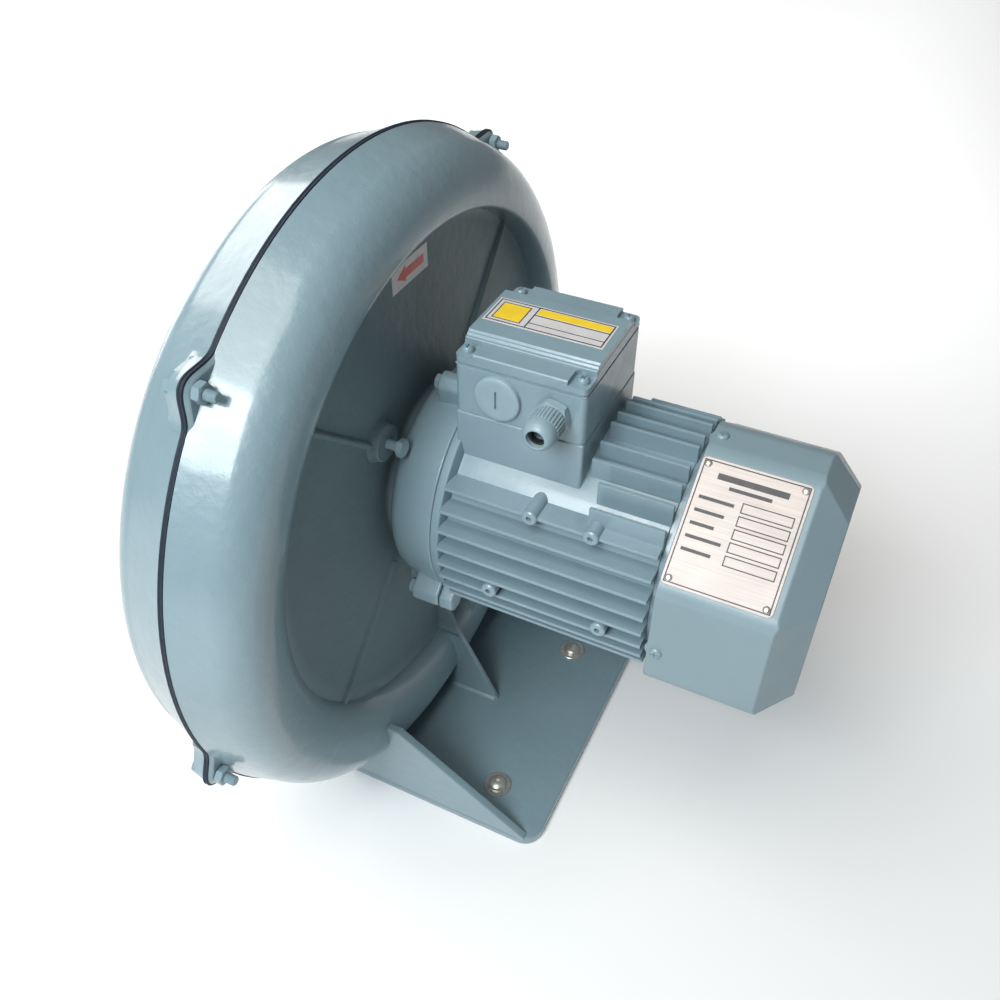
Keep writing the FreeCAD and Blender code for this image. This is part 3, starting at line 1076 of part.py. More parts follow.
# Cooling fan, cowl and nameplate.
fan = turned("fan_body", [("fan_x", "shaft_tail_radius + shaft_fit"), ("fan_x", "fan_hub_radius"),
                          ("fan_x + fan_plate_thick", "fan_plate_radius"),
                          ("fan_x + 2*fan_plate_thick", "fan_plate_radius"),
                          ("fan_x + 2*fan_plate_thick", "fan_hub_radius"),
                          ("fan_x + fan_hub_length", "fan_hub_radius - 3"),
                          ("fan_x + fan_hub_length", "shaft_tail_radius + shaft_fit")])
fan_sketch = sketch_on(fan, "XZ_Plane")
loop(fan_sketch, [("fan_x + 1.2*fan_plate_thick", "fan_hub_radius - 3"),
                  ("fan_x + fan_plate_thick", "fan_plate_radius - 2"),
                  ("fan_x", "fan_blade_radius"), ("fan_x + fan_blade_width*0.8", "fan_blade_radius"),
                  ("fan_x + fan_blade_width", "fan_plate_radius"),
                  ("fan_x + fan_hub_length*0.8", "fan_hub_radius - 3")])
around(fan, pad(fan, fan_sketch, "fan_blade_thick", both_sides=True), "fan_blade_count")
node(fan, "cooling_fan")


def cowl_outline(sketch, inset, shrink="0"):
    """The cowl's eight-sided section: narrow flat on top, tall flats at the sides."""
    high = f"(cowl_reach - {inset} - {shrink})"
    wide = f"(cowl_side_reach - {inset} - {shrink})"
    top = f"(cowl_top_half - {inset}*0.3)"
    side = f"(cowl_side_half - {inset}*0.4 - {shrink}*0.1)"
    loop(sketch, [(top, high), (wide, side), (wide, f"-{side}"), (top, f"-{high}"),
                  (f"-{top}", f"-{high}"), (f"-{wide}", f"-{side}"), (f"-{wide}", side), (f"-{top}", high)])


def cowl_solid(name, inset, start, edge, end):
    """Straight length and bevelled end as one solid."""
    body = new_body(name)
    straight = sketch_on(body, "YZ_Plane", start)
    cowl_outline(straight, inset)
    pad(body, straight, f"{edge} - ({start})")
    first = sketch_on(body, "YZ_Plane", edge)
    cowl_outline(first, inset)
    last = sketch_on(body, "YZ_Plane", end)
    cowl_outline(last, inset, "cowl_bevel")
    bevel = body.newObject("PartDesign::AdditiveLoft", name + "_bevel")
    bevel.Profile = first
    bevel.Sections = [last]
    bevel.Ruled = True
    return body


cowl_outer = cowl_solid("cowl_outer", "0", "cowl_x", "cowl_edge_x", "cowl_end_x")
cowl_inner = cowl_solid("cowl_inner", "cowl_wall", "cowl_x - 1", "cowl_edge_x - cowl_wall/2",
                        "cowl_end_x - cowl_wall")
slots = []
for number in range(int(value_of("grille_rings"))):
    inner = f"grille_inner + {number}*(grille_slot + grille_bar)"
    slots.append(washer(f"grille_slot{number}", f"{inner} + grille_slot", inner, "cowl_wall*4",
                        "cowl_end_x - 3*cowl_wall"))
spokes = [block(f"grille_spoke{number}", "cowl_wall*8", "2*cowl_reach", "grille_spoke",
                "cowl_end_x - 6*cowl_wall",
                f"-cowl_reach*cos({45 * number} deg) + grille_spoke/2*sin({45 * number} deg)",
                f"-cowl_reach*sin({45 * number} deg) - grille_spoke/2*cos({45 * number} deg)",
                FreeCAD.Rotation(FreeCAD.Vector(1, 0, 0), 45 * number)) for number in range(4)]
grille = cut("grille", fuse("grille_slots", slots), spokes)
node(cut("cowl_cut", cowl_outer, [cowl_inner, grille] + cowl_holes), "fan_cowl")
node(group("cowl_screw_set", cowl_screws), "cowl_screws")

# The nameplate lies on the sloping flat that faces up and towards -Y.
slope_rise = value_of("cowl_reach - cowl_side_half")
slope_run = value_of("cowl_side_reach - cowl_top_half")
slope = math.degrees(math.atan2(slope_rise, slope_run))
slope_text = "atan2(cowl_reach - cowl_side_half; cowl_side_reach - cowl_top_half)"


def on_slope(obj, x, down, lift):
    """Places a piece on the sloping flat: down from its top edge, lifted off the sheet."""
    bind(obj, Placement__Rotation__Angle=slope_text)
    return bind(obj, Placement__Base__x=x,
                Placement__Base__y=f"-cowl_top_half - ({down})*cos({slope_text}) - ({lift})*sin({slope_text})",
                Placement__Base__z=f"cowl_reach - ({down})*sin({slope_text}) + ({lift})*cos({slope_text})")


name_plate = doc.addObject("Part::Box", "name_plate_sheet")
bind(name_plate, Length="plate_length", Width="plate_height", Height="nameplate_thick")
name_plate.Placement = FreeCAD.Placement(FreeCAD.Vector(), FreeCAD.Rotation(FreeCAD.Vector(1, 0, 0), slope))
on_slope(name_plate, "cowl_x + nameplate_inset", "nameplate_edge + plate_height", "0")
node_plate = group("name_plate_set", [name_plate])
node(node_plate, "nameplate")
plate_rivets = []
for across in (0, 1):
    for down in (0, 1):
        x = ("cowl_x + nameplate_inset + plate_rivet_inset"
             + (" + plate_length - 2*plate_rivet_inset" if across else ""))
        drop = ("nameplate_edge + plate_rivet_inset"
                + (" + plate_height - 2*plate_rivet_inset" if down else ""))
        rivet = doc.addObject("Part::Cylinder", f"plate_rivet{across}{down}")
        bind(rivet, Radius="plate_rivet_head", Height="plate_rivet_rise")
        rivet.Placement = FreeCAD.Placement(FreeCAD.Vector(),
                                            FreeCAD.Rotation(FreeCAD.Vector(1, 0, 0), slope))
        plate_rivets.append(on_slope(rivet, x, drop, "nameplate_thick"))
node(group("plate_rivet_set", plate_rivets), "nameplate_rivets")

# Checks and files.
doc.recompute()
faults = []
for obj in doc.Objects:
    if "Invalid" in obj.State or "Error" in obj.State:
        faults.append(f"{obj.Name}: {obj.State}")
for obj in nodes:
    if obj.Shape.isNull() or not obj.Shape.isValid() or not obj.Shape.Solids:
        faults.append(f"{obj.Label}: bad shape")
if faults:
    raise SystemExit("\n".join(faults))

os.makedirs("parts", exist_ok=True)
for obj in nodes:
    obj.Shape.exportStep(f"parts/{obj.Label}.step")
    print(f"{obj.Label}: {len(obj.Shape.Solids)} solids, {obj.Shape.Volume / 1000:.1f} cm3")
print(f"{len(nodes)} pieces")
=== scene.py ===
"""Looks of a centrifugal turbo blower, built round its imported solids.

Sizes are millimetres about the shaft axis, with x = 0 on the casing's split plane, as in the part's own source.
"""

import logging
import math
from contextlib import contextmanager
from dataclasses import dataclass
from enum import Enum
from typing import Callable, Iterator, Sequence

import bmesh
import bpy
from mathutils import Matrix, Vector


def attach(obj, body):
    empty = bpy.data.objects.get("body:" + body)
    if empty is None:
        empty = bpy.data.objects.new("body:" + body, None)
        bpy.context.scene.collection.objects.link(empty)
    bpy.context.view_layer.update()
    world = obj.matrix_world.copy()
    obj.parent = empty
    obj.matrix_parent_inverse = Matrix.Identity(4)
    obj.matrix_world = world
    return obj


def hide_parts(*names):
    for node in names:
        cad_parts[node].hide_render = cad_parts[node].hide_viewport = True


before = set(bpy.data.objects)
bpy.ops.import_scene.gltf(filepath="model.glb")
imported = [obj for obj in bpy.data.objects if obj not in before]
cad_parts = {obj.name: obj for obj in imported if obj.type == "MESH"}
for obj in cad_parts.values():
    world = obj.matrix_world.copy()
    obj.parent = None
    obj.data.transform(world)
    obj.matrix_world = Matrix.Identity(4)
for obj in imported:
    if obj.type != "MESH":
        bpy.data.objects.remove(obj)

LOG = logging.getLogger("blower")
MM = 0.001
SPLIT_BACK = 146.0
AXIS_HEIGHT = 308.0
HOME = (SPLIT_BACK, 0.0, -AXIS_HEIGHT)
POLE = 0.004
Point = Sequence[float]


def at(x: float, y: float, z: float) -> Vector:
    """Turns a place about the shaft into a place in the frame.

    Args:
        x: Millimetres from the split plane towards the fan.
        y: Millimetres towards the outlet.
        z: Millimetres above the shaft axis.

    Returns:
        The same place in metres, in the frame's axes.
    """
    return Vector(((x - SPLIT_BACK) * MM, y * MM, (z + AXIS_HEIGHT) * MM))


def polar(radius: float, degrees: float) -> tuple[float, float]:
    """Gives y and z of a point about the shaft, the angle counted from +Y towards +Z."""
    return radius * math.cos(math.radians(degrees)), radius * math.sin(math.radians(degrees))


def about_shaft(degrees: float) -> Matrix:
    """Gives the turn about the shaft axis by an angle."""
    axis = at(0, 0, 0)
    return Matrix.Translation(axis) @ Matrix.Rotation(math.radians(degrees), 4, "X") @ Matrix.Translation(-axis)


def only(*objects: bpy.types.Object) -> None:
    """Selects these objects and nothing else, the first one active."""
    for other in bpy.context.selected_objects:
        other.select_set(False)
    for obj in objects:
        obj.select_set(True)
    bpy.context.view_layer.objects.active = objects[0]


@contextmanager
def editing(obj: bpy.types.Object, pick: str = "VERT") -> Iterator[bmesh.types.BMesh]:
    """Opens a piece in edit mode.

    Args:
        obj: The piece.
        pick: What is selected, VERT, EDGE or FACE.

    Yields:
        The mesh being edited.
    """
    only(obj)
    bpy.ops.object.mode_set(mode="EDIT")
    bpy.ops.mesh.select_mode(type=pick)
    yield bmesh.from_edit_mesh(obj.data)
    bpy.ops.object.mode_set(mode="OBJECT")


def pick_edges(obj: bpy.types.Object, wanted: Callable[[Vector, Vector], bool]) -> None:
    """Selects the edges that a test accepts; the piece is in edit mode.

    Args:
        obj: The piece.
        wanted: Test on an edge's middle and its unit direction.
    """
    mesh = bmesh.from_edit_mesh(obj.data)
    bpy.ops.mesh.select_all(action="DESELECT")
    for edge in mesh.edges:
        first, last = (vert.co for vert in edge.verts)
        edge.select_set(wanted((first + last) / 2, (last - first).normalized()))
    bmesh.update_edit_mesh(obj.data)


def rounded(obj: bpy.types.Object, width: float, steps: int = 3, angle: float = 30.0) -> bpy.types.Object:
    """Rounds a piece's edges that are sharper than an angle, for good.

    Args:
        obj: The piece.
        width: Width of the rounding in millimetres.
        steps: Faces across the rounding.
        angle: Edges flatter than this many degrees are left.

    Returns:
        The same piece.
    """
    only(obj)
    bevel = obj.modifiers.new("rounding", "BEVEL")
    bevel.width = width * MM
    bevel.segments = steps
    bevel.limit_method = "ANGLE"
    bevel.angle_limit = math.radians(angle)
    bevel.miter_outer = "MITER_ARC"
    bpy.ops.object.modifier_apply(modifier=bevel.name)
    return obj


def block(low: Point, high: Point, cuts: Sequence[tuple[Point, Point]] = (), soft: float = 0.0,
          steps: int = 3) -> bpy.types.Object:
    """Makes a solid from a cube, cut by planes and softened along its edges.

    Args:
        low: Lowest corner, in millimetres about the shaft.
        high: Highest corner.
        cuts: A point and an outward normal for each plane; what lies beyond it goes.
        soft: Width of the edge rounding in millimetres, or 0.
        steps: Faces across the rounding.

    Returns:
        The solid.
    """
    first, last = at(*low), at(*high)
    bpy.ops.mesh.primitive_cube_add(size=1, location=(first + last) / 2, scale=last - first)
    obj = bpy.context.active_object
    only(obj)
    bpy.ops.object.transform_apply()
    if cuts:
        with editing(obj):
            for point, normal in cuts:
                bpy.ops.mesh.select_all(action="SELECT")
                bpy.ops.mesh.bisect(plane_co=at(*point), plane_no=Vector(normal).normalized(),
                                    use_fill=True, clear_outer=True)
    return rounded(obj, soft, steps) if soft else obj


class Axis(Enum):
    """Directions a turned piece may lie along: unit vector, circle's turn, and which sides widen."""

    X = (Vector((1, 0, 0)), (0, math.pi / 2, 0), (0, 1, 1))
    Y = (Vector((0, 1, 0)), (-math.pi / 2, 0, 0), (1, 0, 1))
    Z = (Vector((0, 0, 1)), (0, 0, 0), (1, 1, 0))


def turned(stations: Sequence[Point], center: Point = (0, 0, 0), along: Axis = Axis.X, sides: int = 64,
           loop: bool = False) -> bpy.types.Object:
    """Makes a solid of revolution by extruding a circle from ring to ring.

    Args:
        stations: Distance along the axis, radius, and where given the ring's shift towards -Y and -Z.
        center: Where distance 0 lies.
        along: The axis.
        sides: Corners of the circle.
        loop: Whether the last ring joins the first; otherwise both ends are closed.

    Returns:
        The solid.
    """
    way, turn, widen = along.value

    def spot(station: Point) -> Vector:
        shift = station[2] if len(station) > 2 else 0.0
        return at(*center) + way * station[0] * MM - Vector((0, shift, shift)) * MM

    rings = list(stations) if loop else [(stations[0][0], POLE, *stations[0][2:]), *stations,
                                         (stations[-1][0], POLE, *stations[-1][2:])]
    bpy.ops.mesh.primitive_circle_add(vertices=sides, radius=rings[0][1] * MM, location=spot(rings[0]), rotation=turn)
    obj = bpy.context.active_object
    only(obj)
    bpy.ops.object.transform_apply()
    with editing(obj):
        bpy.ops.mesh.select_all(action="SELECT")
        for before, after in zip(rings, rings[1:] + (rings[:1] if loop else [])):
            bpy.ops.mesh.extrude_region_move(TRANSFORM_OT_translate={"value": spot(after) - spot(before)})
            ratio = after[1] / before[1]
            bpy.ops.transform.resize(value=[ratio if side else 1 for side in widen], center_override=spot(after))
        bpy.ops.mesh.select_all(action="SELECT")
        bpy.ops.mesh.remove_doubles(threshold=3 * POLE * MM)
        bpy.ops.mesh.normals_make_consistent(inside=False)
    return obj


def swept(outline: Sequence[Point], stations: Sequence[Point], pivot: Point) -> bpy.types.Object:
    """Makes a solid by extruding an outline along the shaft, scaled about a point from station to station.

    Args:
        outline: Corners as y and z in millimetres about the shaft.
        stations: Distance along the shaft, then the outline's scale in Y and in Z.
        pivot: y and z of the point that scaling leaves where it is.

    Returns:
        The solid.
    """
    bpy.ops.mesh.primitive_circle_add(vertices=len(outline), fill_type="NGON")
    obj = bpy.context.active_object
    for vert, (y, z) in zip(obj.data.vertices, outline):
        vert.co = at(stations[0][0], y, z)
    with editing(obj):
        bpy.ops.mesh.select_all(action="SELECT")
        for before, after in zip(stations, stations[1:]):
            step = Vector(((after[0] - before[0]) * MM, 0, 0))
            bpy.ops.mesh.extrude_region_move(TRANSFORM_OT_translate={"value": step})
            bpy.ops.transform.resize(value=(1, after[1] / before[1], after[2] / before[2]),
                                     center_override=at(after[0], *pivot))
        bpy.ops.mesh.select_all(action="SELECT")
        bpy.ops.mesh.normals_make_consistent(inside=False)
    return obj


def copy_of(obj: bpy.types.Object, place: Matrix) -> bpy.types.Object:
    """Copies a piece with its own mesh, moved by a matrix."""
    twin = obj.copy()
    twin.data = obj.data.copy()
    twin.data.transform(place)
    bpy.context.scene.collection.objects.link(twin)
    return twin


def moved(obj: bpy.types.Object, place: Matrix) -> bpy.types.Object:
    """Moves a piece's mesh by a matrix and leaves its object at the origin."""
    obj.data.transform(place)
    return obj


def drop(*objects: bpy.types.Object) -> None:
    """Deletes helper objects."""
    for obj in objects:
        bpy.data.objects.remove(obj, do_unlink=True)


def joined(objects: Sequence[bpy.types.Object]) -> bpy.types.Object:
    """Joins pieces into the first."""
    if len(objects) > 1:
        only(*objects)
        bpy.ops.object.join()
    return objects[0]


def carved(obj: bpy.types.Object, tools: Sequence[bpy.types.Object], how: str = "DIFFERENCE") -> bpy.types.Object:
    """Applies a boolean between a piece and tools that don't touch one another.

    Args:
        obj: The piece.
        tools: The tools, which are used up.
        how: DIFFERENCE, UNION or INTERSECT.

    Returns:
        The same piece.
    """
    tool = joined(list(tools))
    only(obj)
    boolean = obj.modifiers.new("carving", "BOOLEAN")
    boolean.operation = how
    boolean.solver = "EXACT"
    boolean.object = tool
    bpy.ops.object.modifier_apply(modifier=boolean.name)
    drop(tool)
    return obj


def shaded(obj: bpy.types.Object, angle: float = 38.0, flats: bool = True) -> bpy.types.Object:
    """Smooths a piece's shading up to an angle, with flats kept flat beside rounded edges.

    Args:
        obj: The piece.
        angle: Sharper edges than this many degrees stay sharp.
        flats: Whether large faces lead the normals.

    Returns:
        The same piece.
    """
    only(obj)
    bpy.ops.object.shade_smooth_by_angle(angle=math.radians(angle))
    if flats:
        weighted = obj.modifiers.new("flats", "WEIGHTED_NORMAL")
        weighted.keep_sharp = True
        bpy.ops.object.modifier_apply(modifier=weighted.name)
    return obj


def quarter(count: int) -> list[float]:
    """Angles of a quarter turn in radians, without its start."""
    return [math.pi / 2 * step / count for step in range(1, count + 1)]


Nodes = bpy.types.NodeTree


@dataclass(frozen=True)
class Finish:
    """A surface finish: colour that varies softly, gloss that varies, and fine relief."""

    slot: str
    title: str
    colour: tuple[float, float, float]
    shade: tuple[float, float, float]
    patch_size: float = 0.06
    metallic: float = 0.0
    rough_low: float = 0.3
    rough_high: float = 0.45
    coat: float = 0.0
    coat_roughness: float = 0.1
    grain_size: float = 0.002
    grain_depth: float = 0.0001
    cast_size: float = 0.012
    cast_depth: float = 0.0
    # Distance from the shaft inside which the colour is darkened as painted shade and the gloss is taken off; 0 for
    # none.
    painted_shade_radius: float = 0.0
    # Share of the colour left under that painted shade.
    painted_shade_share: float = 0.74

    def noise(self, tree: Nodes, size: float, detail: float, stretch: Point = (1, 1, 1)) -> bpy.types.NodeSocket:
        """Adds a noise in object coordinates.

        Args:
            tree: The material's nodes.
            size: Width of one patch in metres.
            detail: Octaves of finer noise.
            stretch: How much shorter the patches are along each axis.

        Returns:
            The noise's value.
        """
        place = tree.nodes.new("ShaderNodeTexCoord")
        scale = tree.nodes.new("ShaderNodeMapping")
        scale.inputs["Scale"].default_value = stretch
        noise = tree.nodes.new("ShaderNodeTexNoise")
        noise.inputs["Scale"].default_value = 1 / size
        noise.inputs["Detail"].default_value = detail
        tree.links.new(place.outputs["Object"], scale.inputs["Vector"])
        tree.links.new(scale.outputs["Vector"], noise.inputs["Vector"])
        return noise.outputs["Fac"]

    def spread(self, tree: Nodes, value: bpy.types.NodeSocket, low: float, high: float) -> bpy.types.NodeSocket:
        """Maps the middle half of a noise onto a range."""
        ranged = tree.nodes.new("ShaderNodeMapRange")
        ranged.inputs["From Min"].default_value = 0.3
        ranged.inputs["From Max"].default_value = 0.7
        ranged.inputs["To Min"].default_value = low
        ranged.inputs["To Max"].default_value = high
        tree.links.new(value, ranged.inputs["Value"])
        return ranged.outputs["Result"]

    def tint(self, tree: Nodes) -> bpy.types.NodeSocket:
        """Gives the colour, between the finish's two tones."""
        mix = tree.nodes.new("ShaderNodeMix")
        mix.data_type = "RGBA"
        mix.inputs["A"].default_value = (*self.colour, 1)
        mix.inputs["B"].default_value = (*self.shade, 1)
        tree.links.new(self.spread(tree, self.noise(tree, self.patch_size, 5), 0, 1), mix.inputs["Factor"])
        return mix.outputs["Result"]

    def scaled(self, tree: Nodes, value: bpy.types.NodeSocket, low: float, high: float) -> bpy.types.NodeSocket:
        """Maps a share from 0 to 1 onto a range."""
        ranged = tree.nodes.new("ShaderNodeMapRange")
        ranged.inputs["To Min"].default_value = low
        ranged.inputs["To Max"].default_value = high
        tree.links.new(value, ranged.inputs["Value"])
        return ranged.outputs["Result"]

    def dull_and_paint_shade(self, tree: Nodes, shader: bpy.types.Node) -> None:
        """Paints shade into the recess round the shaft: darkens the colour there, slightly warm, and takes off its
        gloss.

        Args:
            tree: The material's nodes.
            shader: Its surface, with the colour linked already.
        """
        place = tree.nodes.new("ShaderNodeTexCoord")
        across = tree.nodes.new("ShaderNodeVectorMath")
        across.operation = "MULTIPLY"
        across.inputs[1].default_value = (0, 1, 1)
        reach = tree.nodes.new("ShaderNodeVectorMath")
        reach.operation = "DISTANCE"
        reach.inputs[1].default_value = (0, 0, AXIS_HEIGHT * MM)
        edge = tree.nodes.new("ShaderNodeMapRange")
        edge.inputs["From Min"].default_value = self.painted_shade_radius
        edge.inputs["From Max"].default_value = self.painted_shade_radius + 0.02
        tree.links.new(place.outputs["Object"], across.inputs[0])
        tree.links.new(across.outputs[0], reach.inputs[0])
        tree.links.new(reach.outputs["Value"], edge.inputs["Value"])
        parts = tree.nodes.new("ShaderNodeSeparateXYZ")
        front = tree.nodes.new("ShaderNodeMapRange")
        front.inputs["From Min"].default_value = -0.128
        front.inputs["From Max"].default_value = -0.136
        either = tree.nodes.new("ShaderNodeMath")
        either.operation = "MAXIMUM"
        tree.links.new(place.outputs["Object"], parts.inputs[0])
        tree.links.new(parts.outputs["X"], front.inputs["Value"])
        tree.links.new(edge.outputs["Result"], either.inputs[0])
        tree.links.new(front.outputs["Result"], either.inputs[1])
        outside = either.outputs[0]
        tree.links.new(self.scaled(tree, outside, 0, self.coat), shader.inputs["Coat Weight"])
        tree.links.new(self.scaled(tree, outside, 0.12, 0.5), shader.inputs["Specular IOR Level"])
        # Painted shade: inside the recess the colour is multiplied darker and slightly warm.
        dim = tree.nodes.new("ShaderNodeMix")
        dim.data_type = "RGBA"
        dim.blend_type = "MULTIPLY"
        dim.inputs["B"].default_value = (self.painted_shade_share, 0.97 * self.painted_shade_share, 0.92 * self.painted_shade_share, 1)
        tree.links.new(self.scaled(tree, outside, 1, 0), dim.inputs["Factor"])
        tree.links.new(shader.inputs["Base Color"].links[0].from_socket, dim.inputs["A"])
        tree.links.new(dim.outputs["Result"], shader.inputs["Base Color"])

    def relief(self, tree: Nodes) -> bpy.types.NodeSocket:
        """Gives the normal: fine grain over broad casting waves."""
        normal = None
        for size, depth, detail in ((self.cast_size, self.cast_depth, 3), (self.grain_size, self.grain_depth, 2)):
            if not depth:
                continue
            bump = tree.nodes.new("ShaderNodeBump")
            bump.inputs["Distance"].default_value = depth
            bump.inputs["Strength"].default_value = 1.0
            tree.links.new(self.noise(tree, size, detail), bump.inputs["Height"])
            if normal:
                tree.links.new(normal, bump.inputs["Normal"])
            normal = bump.outputs["Normal"]
        return normal

    def material(self) -> bpy.types.Material:
        """Gives this finish's material, made the first time it is asked for."""
        known = bpy.data.materials.get(self.title)
        if known:
            return known
        made = bpy.data.materials.new(self.title)
        made.use_nodes = True
        tree = made.node_tree
        shader = tree.nodes["Principled BSDF"]
        shader.inputs["Metallic"].default_value = self.metallic
        shader.inputs["Coat Weight"].default_value = self.coat
        shader.inputs["Coat Roughness"].default_value = self.coat_roughness
        tree.links.new(self.tint(tree), shader.inputs["Base Color"])
        rough = self.spread(tree, self.noise(tree, self.patch_size / 3, 4), self.rough_low, self.rough_high)
        tree.links.new(rough, shader.inputs["Roughness"])
        if self.painted_shade_radius:
            self.dull_and_paint_shade(tree, shader)
        normal = self.relief(tree)
        if normal:
            tree.links.new(normal, shader.inputs["Normal"])
        return made

    def dress(self, obj: bpy.types.Object) -> None:
        """Gives a piece this finish and nothing else."""
        obj.data.materials.clear()
        obj.data.materials.append(self.material())


@dataclass(frozen=True)
class Brushed(Finish):
    """Metal with fine lines along one direction."""

    lines: tuple[float, float, float] = (1, 40, 40)

    def tint(self, tree: Nodes) -> bpy.types.NodeSocket:
        """Gives the colour, streaked along the brushing."""
        mix = tree.nodes.new("ShaderNodeMix")
        mix.data_type = "RGBA"
        mix.inputs["A"].default_value = (*self.colour, 1)
        mix.inputs["B"].default_value = (*self.shade, 1)
        tree.links.new(self.spread(tree, self.noise(tree, self.patch_size, 4, self.lines), 0, 1),
                       mix.inputs["Factor"])
        return mix.outputs["Result"]


# The cast enamel carries painted shade in the recess round the shaft.
CAST_ENAMEL = Finish("enamel", "cast_enamel", (0.205, 0.295, 0.335), (0.185, 0.268, 0.305), patch_size=0.09,
                     rough_low=0.3, rough_high=0.42, coat=0.7, coat_roughness=0.12, grain_size=0.0016,
                     grain_depth=0.0001, cast_size=0.011, cast_depth=0.0007, painted_shade_radius=0.205)
MOTOR_ENAMEL = Finish("enamel", "motor_enamel", (0.21, 0.30, 0.345), (0.19, 0.275, 0.315), patch_size=0.05,
                      rough_low=0.32, rough_high=0.46, coat=0.45, coat_roughness=0.13, grain_size=0.0012,
                      grain_depth=0.00008, cast_size=0.006, cast_depth=0.0003)
SHEET_ENAMEL = Finish("enamel", "sheet_enamel", (0.205, 0.285, 0.32), (0.19, 0.266, 0.3), patch_size=0.07,
                      rough_low=0.4, rough_high=0.5, coat=0.12, coat_roughness=0.2, grain_size=0.0018,
                      grain_depth=0.00007, cast_size=0.03, cast_depth=0.0006)
COMPOUND = Finish("gasket_rubber", "sealing_compound", (0.01, 0.022, 0.04), (0.006, 0.014, 0.027), patch_size=0.02,
                  rough_low=0.5, rough_high=0.7, grain_size=0.004, grain_depth=0.0003)
RUBBER = Finish("gasket_rubber", "black_rubber", (0.012, 0.012, 0.013), (0.02, 0.02, 0.021), patch_size=0.01,
                rough_low=0.5, rough_high=0.7, grain_size=0.001, grain_depth=0.0001)
ZINC = Finish("zinc_steel", "zinc_plate", (0.68, 0.66, 0.61), (0.52, 0.5, 0.46), patch_size=0.006, metallic=0.75,
              rough_low=0.25, rough_high=0.4, grain_size=0.0012, grain_depth=0.00006)
STEEL = Brushed("bare_steel", "machined_steel", (0.46, 0.46, 0.47), (0.36, 0.36, 0.37), patch_size=0.02, metallic=1.0,
                rough_low=0.22, rough_high=0.38, grain_depth=0.00002, lines=(30, 2, 2))
ALLOY = Finish("impeller_alloy", "alloy_sheet", (0.62, 0.63, 0.64), (0.53, 0.54, 0.55), patch_size=0.03, metallic=1.0,
               rough_low=0.3, rough_high=0.45, grain_size=0.002, grain_depth=0.00005)
PLATE = Brushed("plate_aluminium", "brushed_plate", (0.46, 0.42, 0.4), (0.39, 0.345, 0.325), patch_size=0.07,
                metallic=0.3, rough_low=0.34, rough_high=0.46, grain_depth=0.00001, lines=(1, 60, 60))
VARNISH = Finish("winding_varnish", "varnished_wire", (0.32, 0.09, 0.025), (0.22, 0.06, 0.015), patch_size=0.006,
                 rough_low=0.2, rough_high=0.35, grain_size=0.0015, grain_depth=0.0004)
BLOCK_PLASTIC = Finish("terminal_plastic", "black_moulding", (0.02, 0.02, 0.02), (0.028, 0.028, 0.028),
                       patch_size=0.01, rough_low=0.35, rough_high=0.5, grain_size=0.001, grain_depth=0.00004)
BRASS = Finish("stud_brass", "plain_brass", (0.62, 0.43, 0.16), (0.5, 0.33, 0.11), patch_size=0.004, metallic=1.0,
               rough_low=0.25, rough_high=0.4, grain_depth=0.00004)
GREY_PLASTIC = Finish("grey_plastic", "grey_moulding", (0.25, 0.345, 0.385), (0.235, 0.325, 0.365), patch_size=0.01,
                      rough_low=0.3, rough_high=0.42, grain_size=0.0008, grain_depth=0.00004)
FAN_PLASTIC = Finish("fan_plastic", "fan_moulding", (0.022, 0.022, 0.024), (0.03, 0.03, 0.032), patch_size=0.02,
                     rough_low=0.4, rough_high=0.55, grain_size=0.001, grain_depth=0.00005)
LABEL_WHITE = Finish("plate_aluminium", "white_label", (0.6, 0.58, 0.58), (0.54, 0.52, 0.52), patch_size=0.01,
                     rough_low=0.3, rough_high=0.4, grain_depth=0.00002)
LABEL_RED = Finish("plate_aluminium", "red_print", (0.62, 0.025, 0.015), (0.52, 0.02, 0.012), patch_size=0.01,
                   rough_low=0.3, rough_high=0.4, grain_depth=0.00002)
LABEL_YELLOW = Finish("plate_aluminium", "yellow_print", (0.83, 0.58, 0.03), (0.76, 0.52, 0.025), patch_size=0.01,
                      rough_low=0.3, rough_high=0.4, grain_depth=0.00002)
DARK_PRINT = Finish("plate_aluminium", "dark_print", (0.03, 0.03, 0.035), (0.045, 0.045, 0.05), patch_size=0.01,
                    rough_low=0.35, rough_high=0.45, grain_depth=0.00001)


class Assembly:
    """Common to all sub-assemblies: how a finished piece joins the object."""

    body: str = "housing"

    def settle(self, obj: bpy.types.Object, name: str, finish: Finish, *nodes: str) -> bpy.types.Object:
        """Names, dresses and mounts a finished piece.

        Args:
            obj: The piece.
            name: Its name.
            finish: Its finish.
            nodes: The solids it stands for, if any.

        Returns:
            The same piece.
        """
        obj.name = name
        obj.data.name = name
        finish.dress(obj)
        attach(obj, self.body)
        if nodes:
            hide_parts(*nodes)
        LOG.info("%s: %d faces, %s", name, len(obj.data.polygons), finish.title)
        return obj


